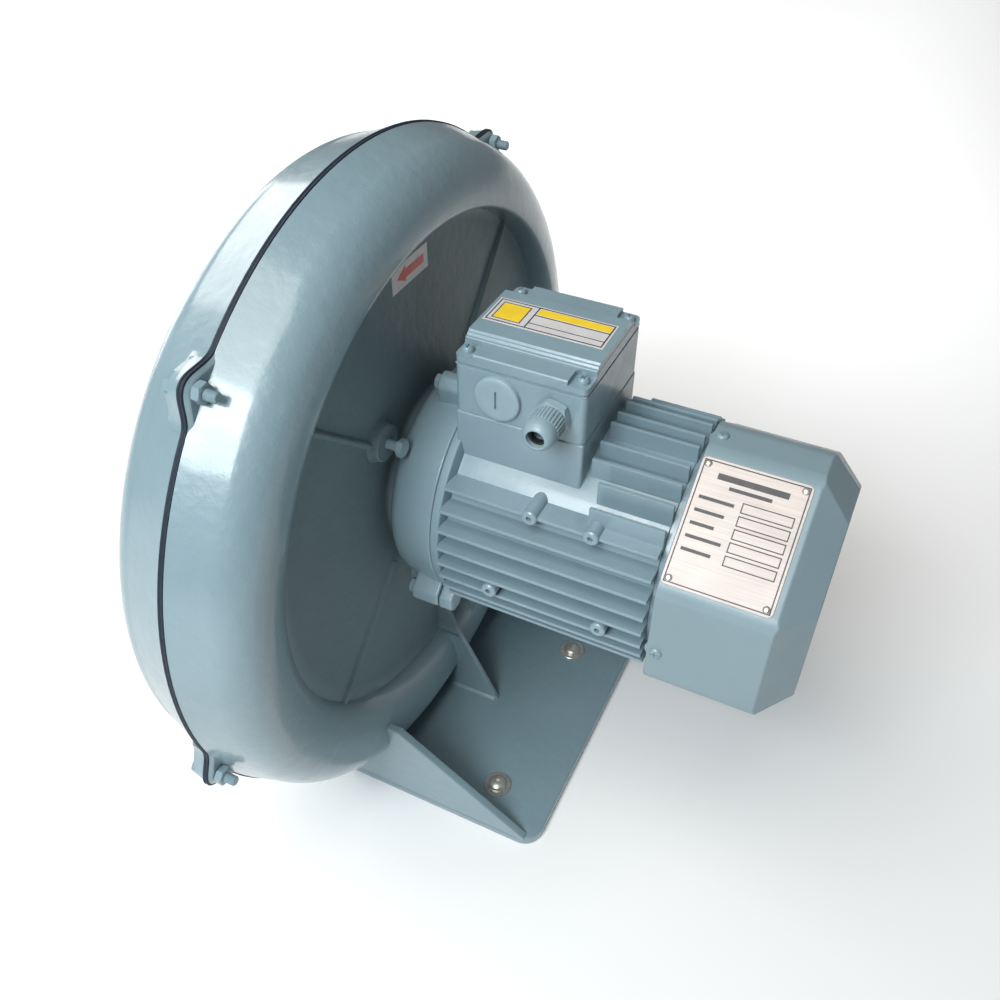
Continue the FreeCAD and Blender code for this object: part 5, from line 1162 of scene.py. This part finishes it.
    def label(self) -> None:
        """Builds the plain sticker on the lid: white ground, yellow panels in thin frames, no wording."""
        top = self.top + self.seal + self.lid + self.rise
        base = block((95.5, -14.5, top), (189, 18.5, top + 0.35), soft=0.15, steps=1)
        self.settle(shaded(base), "lid_sticker", LABEL_WHITE)
        panels = [block((101.5, -8.5, top + 0.3), (122, 12.5, top + 0.5)),
                  block((129.5, 7, top + 0.3), (186, 15.3, top + 0.5))]
        self.settle(joined([rounded(panel, 0.1, 1) for panel in panels]), "lid_sticker_panels", LABEL_YELLOW)
        lines = []
        for x0, y0, x1, y1 in ((97, -13, 187.5, -12), (97, 16, 187.5, 17), (97, -13, 98, 17), (186.5, -13, 187.5, 17),
                               (127.6, -13, 128.6, 17), (127.6, 5.2, 187.5, 6.2), (127.6, -6, 187.5, -5.2),
                               (100.5, -9.5, 123, -8.7), (100.5, 12.7, 123, 13.5), (100.5, -9.5, 101.3, 13.5),
                               (122.2, -9.5, 123, 13.5)):
            lines.append(block((x0, y0, top + 0.3), (x1, y1, top + 0.46)))
        self.settle(joined(lines), "lid_sticker_rules", DARK_PRINT)

    def build(self) -> None:
        """Builds every piece of the terminal box."""
        self.shell()
        self.cover()
        self.screws()
        self.plug()
        self.gland()
        self.label()


@dataclass
class Cowl(Assembly):
    """The pressed fan cowl with its grille and screws, and the plate riveted to it."""

    start: float = 272
    edge: float = 355
    end: float = 378
    high: float = 110
    wide: float = 103.7
    top_half: float = 17
    side_half: float = 47
    bevel: float = 28
    flank_bevel: float = 20.7
    corner: float = 8
    wall: float = 2
    slot: float = 6
    bar: float = 5
    inner: float = 14
    rings: int = 5
    plate_length: float = 78
    plate_height: float = 95
    plate_drop: float = 6

    @property
    def slope(self) -> float:
        """Angle of the flank that carries the plate, in radians below level."""
        return math.atan2(self.high - self.side_half, self.wide - self.top_half)

    def solid(self, inset: float, start: float) -> bpy.types.Object:
        """Makes the cowl's outline as one solid, inset by a wall."""
        high, wide = self.high - inset, self.wide - inset
        rise, run = self.high - self.side_half, self.wide - self.top_half
        cuts = []
        for side_y in (-1, 1):
            for side_z in (-1, 1):
                cuts.append(((0, side_y * (self.top_half - inset * 0.3), side_z * high),
                             (0, side_y * rise, side_z * run)))
        body = block((start, -wide, -high), (self.end - inset, wide, high), cuts)
        with editing(body, "EDGE"):
            pick_edges(body, lambda middle, way: abs(way.x) > 0.9)
            bpy.ops.mesh.bevel(offset=self.corner * MM, segments=6)
        edge = self.edge - inset / 2
        depth = self.end - self.edge
        slopes = []
        for y, z, out_y, out_z in ((0, high, 0, 1), (0, -high, 0, -1), (wide, 0, 1, 0), (-wide, 0, -1, 0)):
            slopes.append(((edge, y, z), (self.bevel, out_y * depth, out_z * depth)))
        length = math.hypot(rise, run)
        for side_y in (-1, 1):
            for side_z in (-1, 1):
                slopes.append(((edge, side_y * (self.top_half - inset * 0.3), side_z * high),
                               (self.flank_bevel, side_y * rise / length * depth, side_z * run / length * depth)))
        with editing(body):
            for point, normal in slopes:
                bpy.ops.mesh.select_all(action="SELECT")
                bpy.ops.mesh.bisect(plane_co=at(*point), plane_no=Vector(normal).normalized(),
                                    use_fill=True, clear_outer=True)
        return body

    def shell(self) -> None:
        """Builds the pressed cover."""
        outer = self.solid(0, self.start)
        rounded(outer, 2, 4, 20)
        inner = self.solid(self.wall, self.start - 6)
        carved(outer, [inner])
        slots = []
        for number in range(self.rings):
            low = self.inner + number * (self.slot + self.bar)
            ring = turned([(self.end - 6, low), (self.end - 6, low + self.slot), (self.end + 4, low + self.slot),
                           (self.end + 4, low)], sides=96, loop=True)
            for turn in range(4):
                spoke = block((self.end - 10, -150, -3.5), (self.end + 8, 150, 3.5))
                moved(spoke, about_shaft(45 * turn))
                carved(ring, [spoke])
            slots.append(ring)
        carved(outer, slots)
        self.settle(shaded(outer, 30), "fan_cover", SHEET_ENAMEL, "fan_cowl")

    def screws(self) -> None:
        """Builds the four screws that hold the cover."""
        model = Fastener(shank=2.95, length=12, pitch=1).pan(4.6, 2.4)
        copies = []
        for y, z, turn in ((0, self.high, Matrix.Rotation(math.pi / 2, 4, "Y")),
                           (0, -self.high, Matrix.Rotation(-math.pi / 2, 4, "Y")),
                           (-self.wide, -16, Matrix.Rotation(math.pi / 2, 4, "Z")),
                           (self.wide, -16, Matrix.Rotation(-math.pi / 2, 4, "Z"))):
            copies.append(copy_of(model, Matrix.Translation(at(279, y, z)) @ turn))
        drop(model)
        self.settle(shaded(joined(copies), 30), "cover_screw_set", MOTOR_ENAMEL, "cowl_screws")

    def on_slope(self, obj: bpy.types.Object) -> bpy.types.Object:
        """Lays a flat piece, drawn with x along the shaft, y down the slope and z off it, on the flank.

        Args:
            obj: The piece, drawn about the frame's origin, which goes to the flank's top front corner.

        Returns:
            The same piece.
        """
        corner = Matrix.Translation(at(self.start, -self.top_half, self.high))
        turn = Matrix.Rotation(self.slope, 4, "X")
        flip = Matrix.Diagonal((1, -1, 1, 1))
        obj.data.transform(corner @ turn @ flip)
        obj.data.flip_normals()
        return obj

    def drawn(self, low: Point, high: Point, soft: float = 0.0, corner: float = 0.0) -> bpy.types.Object:
        """Makes a thin sheet piece about the frame's origin, in millimetres, with rounded corners if asked."""
        shifted = [tuple(value + home for value, home in zip(point, HOME)) for point in (low, high)]
        sheet = block(*shifted)
        if corner:
            with editing(sheet, "EDGE"):
                pick_edges(sheet, lambda middle, way: abs(way.z) > 0.9)
                bpy.ops.mesh.bevel(offset=corner * MM, segments=5)
        return rounded(sheet, soft, 1, 50) if soft else sheet

    def frame_lines(self, left: float, top: float, right: float, foot: float, thick: float) -> list[bpy.types.Object]:
        """Makes the four thin lines of a printed frame on the plate."""
        sides = ((left, top, right, top + thick), (left, foot - thick, right, foot), (left, top, left + thick, foot),
                 (right - thick, top, right, foot))
        return [self.drawn((x0, y0, 0.7), (x1, y1, 0.98)) for x0, y0, x1, y1 in sides]

    def plate(self) -> None:
        """Builds the rating plate: brushed metal with ruled fields and no wording, and its rivets."""
        left, top = 0.6, self.plate_drop
        right, foot = left + self.plate_length, top + self.plate_height
        sheet = self.drawn((left, top, 0), (right, foot, 0.8), 0.2, 4)
        self.settle(shaded(self.on_slope(sheet)), "rating_plate", PLATE, "nameplate")
        lines = []
        for row in range(5):
            y = top + 25 + row * 9.6
            lines += self.frame_lines(left + 36, y, right - 6, y + 7.6, 0.8)
        lines += self.frame_lines(left + 1.8, top + 1.8, right - 1.8, foot - 1.8, 0.9)
        for row in range(5):
            y = top + 28 + row * 9.6
            lines.append(self.drawn((left + 6, y, 0.7), (left + 31 - 4 * (row % 3), y + 2.4, 0.98)))
        lines.append(self.drawn((left + 14, top + 9.5, 0.7), (right - 14, top + 14, 0.98)))
        lines.append(self.drawn((left + 24, top + 17, 0.7), (right - 24, top + 19.6, 0.98)))
        ruled = self.on_slope(joined(lines))
        self.settle(ruled, "rating_plate_rules", DARK_PRINT)
        rivets = []
        for x in (left + 5, right - 5):
            for y in (top + 5, foot - 5):
                spot = (x + HOME[0], y, HOME[2])
                rivets.append(turned([(0.6, 2.8), (1.1, 2.7), (1.6, 2.2), (1.95, 1.3), (2, 0.5)], spot, Axis.Z, 24))
        self.settle(shaded(self.on_slope(joined(rivets)), 60), "plate_rivet_set", ZINC, "nameplate_rivets")

    def build(self) -> None:
        """Builds every piece of the cowl."""
        self.shell()
        self.screws()
        self.plate()


@dataclass
class FootBolts(Assembly):
    """The two domed bolts with washers that stand in the foot's slots, and the arrow on the web."""

    x: float = 146
    y: float = 92.5
    top: float = -298

    def bolts(self) -> None:
        """Builds the bolts and their washers."""
        pieces = []
        for side in (-1, 1):
            spot = (self.x, side * self.y, self.top)
            washer = turned([(0, 5.6), (0, 12.6), (0.4, 13), (1.6, 13), (2, 12.6), (2, 5.6)], spot, Axis.Z, 48,
                            loop=True)
            dome = [(2, 8.6), (3, 8.7)]
            dome += [(3 + 4.2 * math.sin(turn), max(8.7 * math.cos(turn), POLE)) for turn in quarter(7)]
            head = turned(dome, spot, Axis.Z, 40)
            socket = turned([(4.4, 2.6), (9, 2.6)], spot, Axis.Z, 6)
            carved(head, [socket])
            shank = turned([(-9.8, 4.9), (3, 4.9)], spot, Axis.Z, 24)
            pieces += [washer, head, shank]
        self.settle(shaded(joined(pieces), 35), "foot_bolt_set", ZINC)

    def arrow(self) -> None:
        """Builds the sticker that shows which way the rotor turns."""
        x = 36.15
        low, high, middle = 179.6, 199.4, 189.3
        ground = block((x - 0.3, -38, low), (x + 0.12, 13.3, high), soft=0.1, steps=1)
        self.settle(ground, "arrow_sticker", LABEL_WHITE)
        outline = [(-31, middle), (-19, middle + 6.4), (-19, middle + 3.4), (7.2, middle + 3.4),
                   (7.2, middle - 3.4), (-19, middle - 3.4), (-19, middle - 6.4)]
        print_ = swept(outline, [(x, 1, 1), (x + 0.28, 1, 1)], (0, middle))
        self.settle(print_, "arrow_print", LABEL_RED)

    def build(self) -> None:
        """Builds the bolts and the sticker."""
        self.bolts()
        self.arrow()


class CarriedOver:
    """Solids that are shown as they are, each with its own finish."""

    FINISHES: dict[str, Finish] = {
        "inlet_nozzle": CAST_ENAMEL, "inlet_screws": ZINC, "outlet_collar": CAST_ENAMEL, "collar_screws": ZINC,
        "impeller_blades": ALLOY, "impeller_shroud": ALLOY, "impeller_back_plate": ALLOY, "impeller_hub": ALLOY,
        "impeller_rivets": ALLOY, "impeller_key": STEEL, "impeller_washer": ZINC, "impeller_bolt": ZINC,
        "shaft": STEEL, "rotor_core": STEEL, "bearing_inner_races": STEEL, "bearing_outer_races": STEEL,
        "shaft_seal": RUBBER, "stator_core": STEEL, "windings": VARNISH, "rear_end_shield": MOTOR_ENAMEL,
        "terminal_block": BLOCK_PLASTIC, "terminal_studs": BRASS, "cooling_fan": FAN_PLASTIC,
    }

    def build(self) -> None:
        """Dresses every solid that stays in view or inside."""
        for name, finish in self.FINISHES.items():
            finish.dress(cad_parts[name])
            LOG.info("%s: %s", name, finish.title)


@dataclass
class Studio:
    """Floor, lights and the photograph's camera."""

    eye: tuple[float, float, float] = (378.904, -567.179, 545.135)
    forward: tuple[float, float, float] = (-0.32550687, 0.66981137, -0.66738145)
    upward: tuple[float, float, float] = (-0.2930115, 0.5992010, 0.7450519)
    focal: float = 35.6485
    floor_half: float = 6.0

    def camera(self) -> None:
        """Sets the camera where the photograph was taken from."""
        forward, upward = Vector(self.forward).normalized(), Vector(self.upward).normalized()
        right = forward.cross(upward).normalized()
        upward = right.cross(forward)
        turn = Matrix((right, upward, -forward)).transposed().to_4x4()
        data = bpy.data.cameras.new("photo_camera")
        data.sensor_width = 36.0
        data.lens = self.focal
        data.clip_start = 0.01
        eye = bpy.data.objects.new("photo_camera", data)
        eye.matrix_world = Matrix.Translation(at(*self.eye)) @ turn
        bpy.context.scene.collection.objects.link(eye)
        bpy.context.scene.camera = eye

    def floor(self) -> None:
        """Lays the pale floor."""
        bpy.ops.mesh.primitive_plane_add(size=2 * self.floor_half)
        plane = bpy.context.active_object
        plane.name = "studio_floor"
        material = bpy.data.materials.new("studio_floor")
        material.use_nodes = True
        shader = material.node_tree.nodes["Principled BSDF"]
        shader.inputs["Base Color"].default_value = (0.88, 0.88, 0.88, 1)
        shader.inputs["Roughness"].default_value = 0.9
        shader.inputs["Specular IOR Level"].default_value = 0.1
        plane.data.materials.append(material)

    def lamp(self, name: str, spot: Point, target: Point, size: float, watts: float, colour: Point,
             spread: float = 180) -> None:
        """Hangs a square soft light.

        Args:
            name: Its name.
            spot: Where it hangs, in metres.
            target: What it faces, in metres.
            size: Side of the square in metres.
            watts: Its power.
            colour: Its colour.
            spread: Width of its beam in degrees.
        """
        data = bpy.data.lights.new(name, "AREA")
        data.shape = "SQUARE"
        data.size = size
        data.energy = watts
        data.color = colour
        data.spread = math.radians(spread)
        lamp = bpy.data.objects.new(name, data)
        lamp.location = spot
        lamp.rotation_euler = (Vector(target) - Vector(spot)).to_track_quat("-Z", "Y").to_euler()
        bpy.context.scene.collection.objects.link(lamp)

    def lights(self) -> None:
        """Sets soft studio light, strongest from the casing's side."""
        world = bpy.data.worlds.new("studio")
        world.use_nodes = True
        sky = world.node_tree.nodes["Background"]
        sky.inputs["Color"].default_value = (0.95, 0.98, 1, 1)
        sky.inputs["Strength"].default_value = 0.16
        bpy.context.scene.world = world
        bpy.context.scene.view_settings.view_transform = "Standard"
        middle = (-0.05, 0, 0.3)
        self.lamp("window", (-0.2, -1.75, 1.75), middle, 0.95, 42, (0.88, 0.96, 1))
        self.lamp("ceiling", (-0.5, -1.1, 2.6), middle, 2.0, 48, (1, 0.96, 0.91))
        self.lamp("backdrop", (-1.1, 2.3, 2.2), (-1.1, 2.3, 0), 3.2, 24, (1, 1, 1), 40)
        self.lamp("inlet_side", (-2.6, 0.9, 0.9), middle, 1.6, 30, (1, 0.99, 0.97))

    def build(self) -> None:
        """Sets up the studio."""
        self.camera()
        self.floor()
        self.lights()


def main() -> None:
    """Builds the looks in order and reports each piece."""
    logging.basicConfig(level=logging.INFO, format="%(name)s: %(message)s")
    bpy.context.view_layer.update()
    Studio().build()
    for part in (Casing(), Motor(), TerminalBox(), Cowl(), FootBolts(), CarriedOver()):
        part.build()


if __name__ == "__main__":
    main()
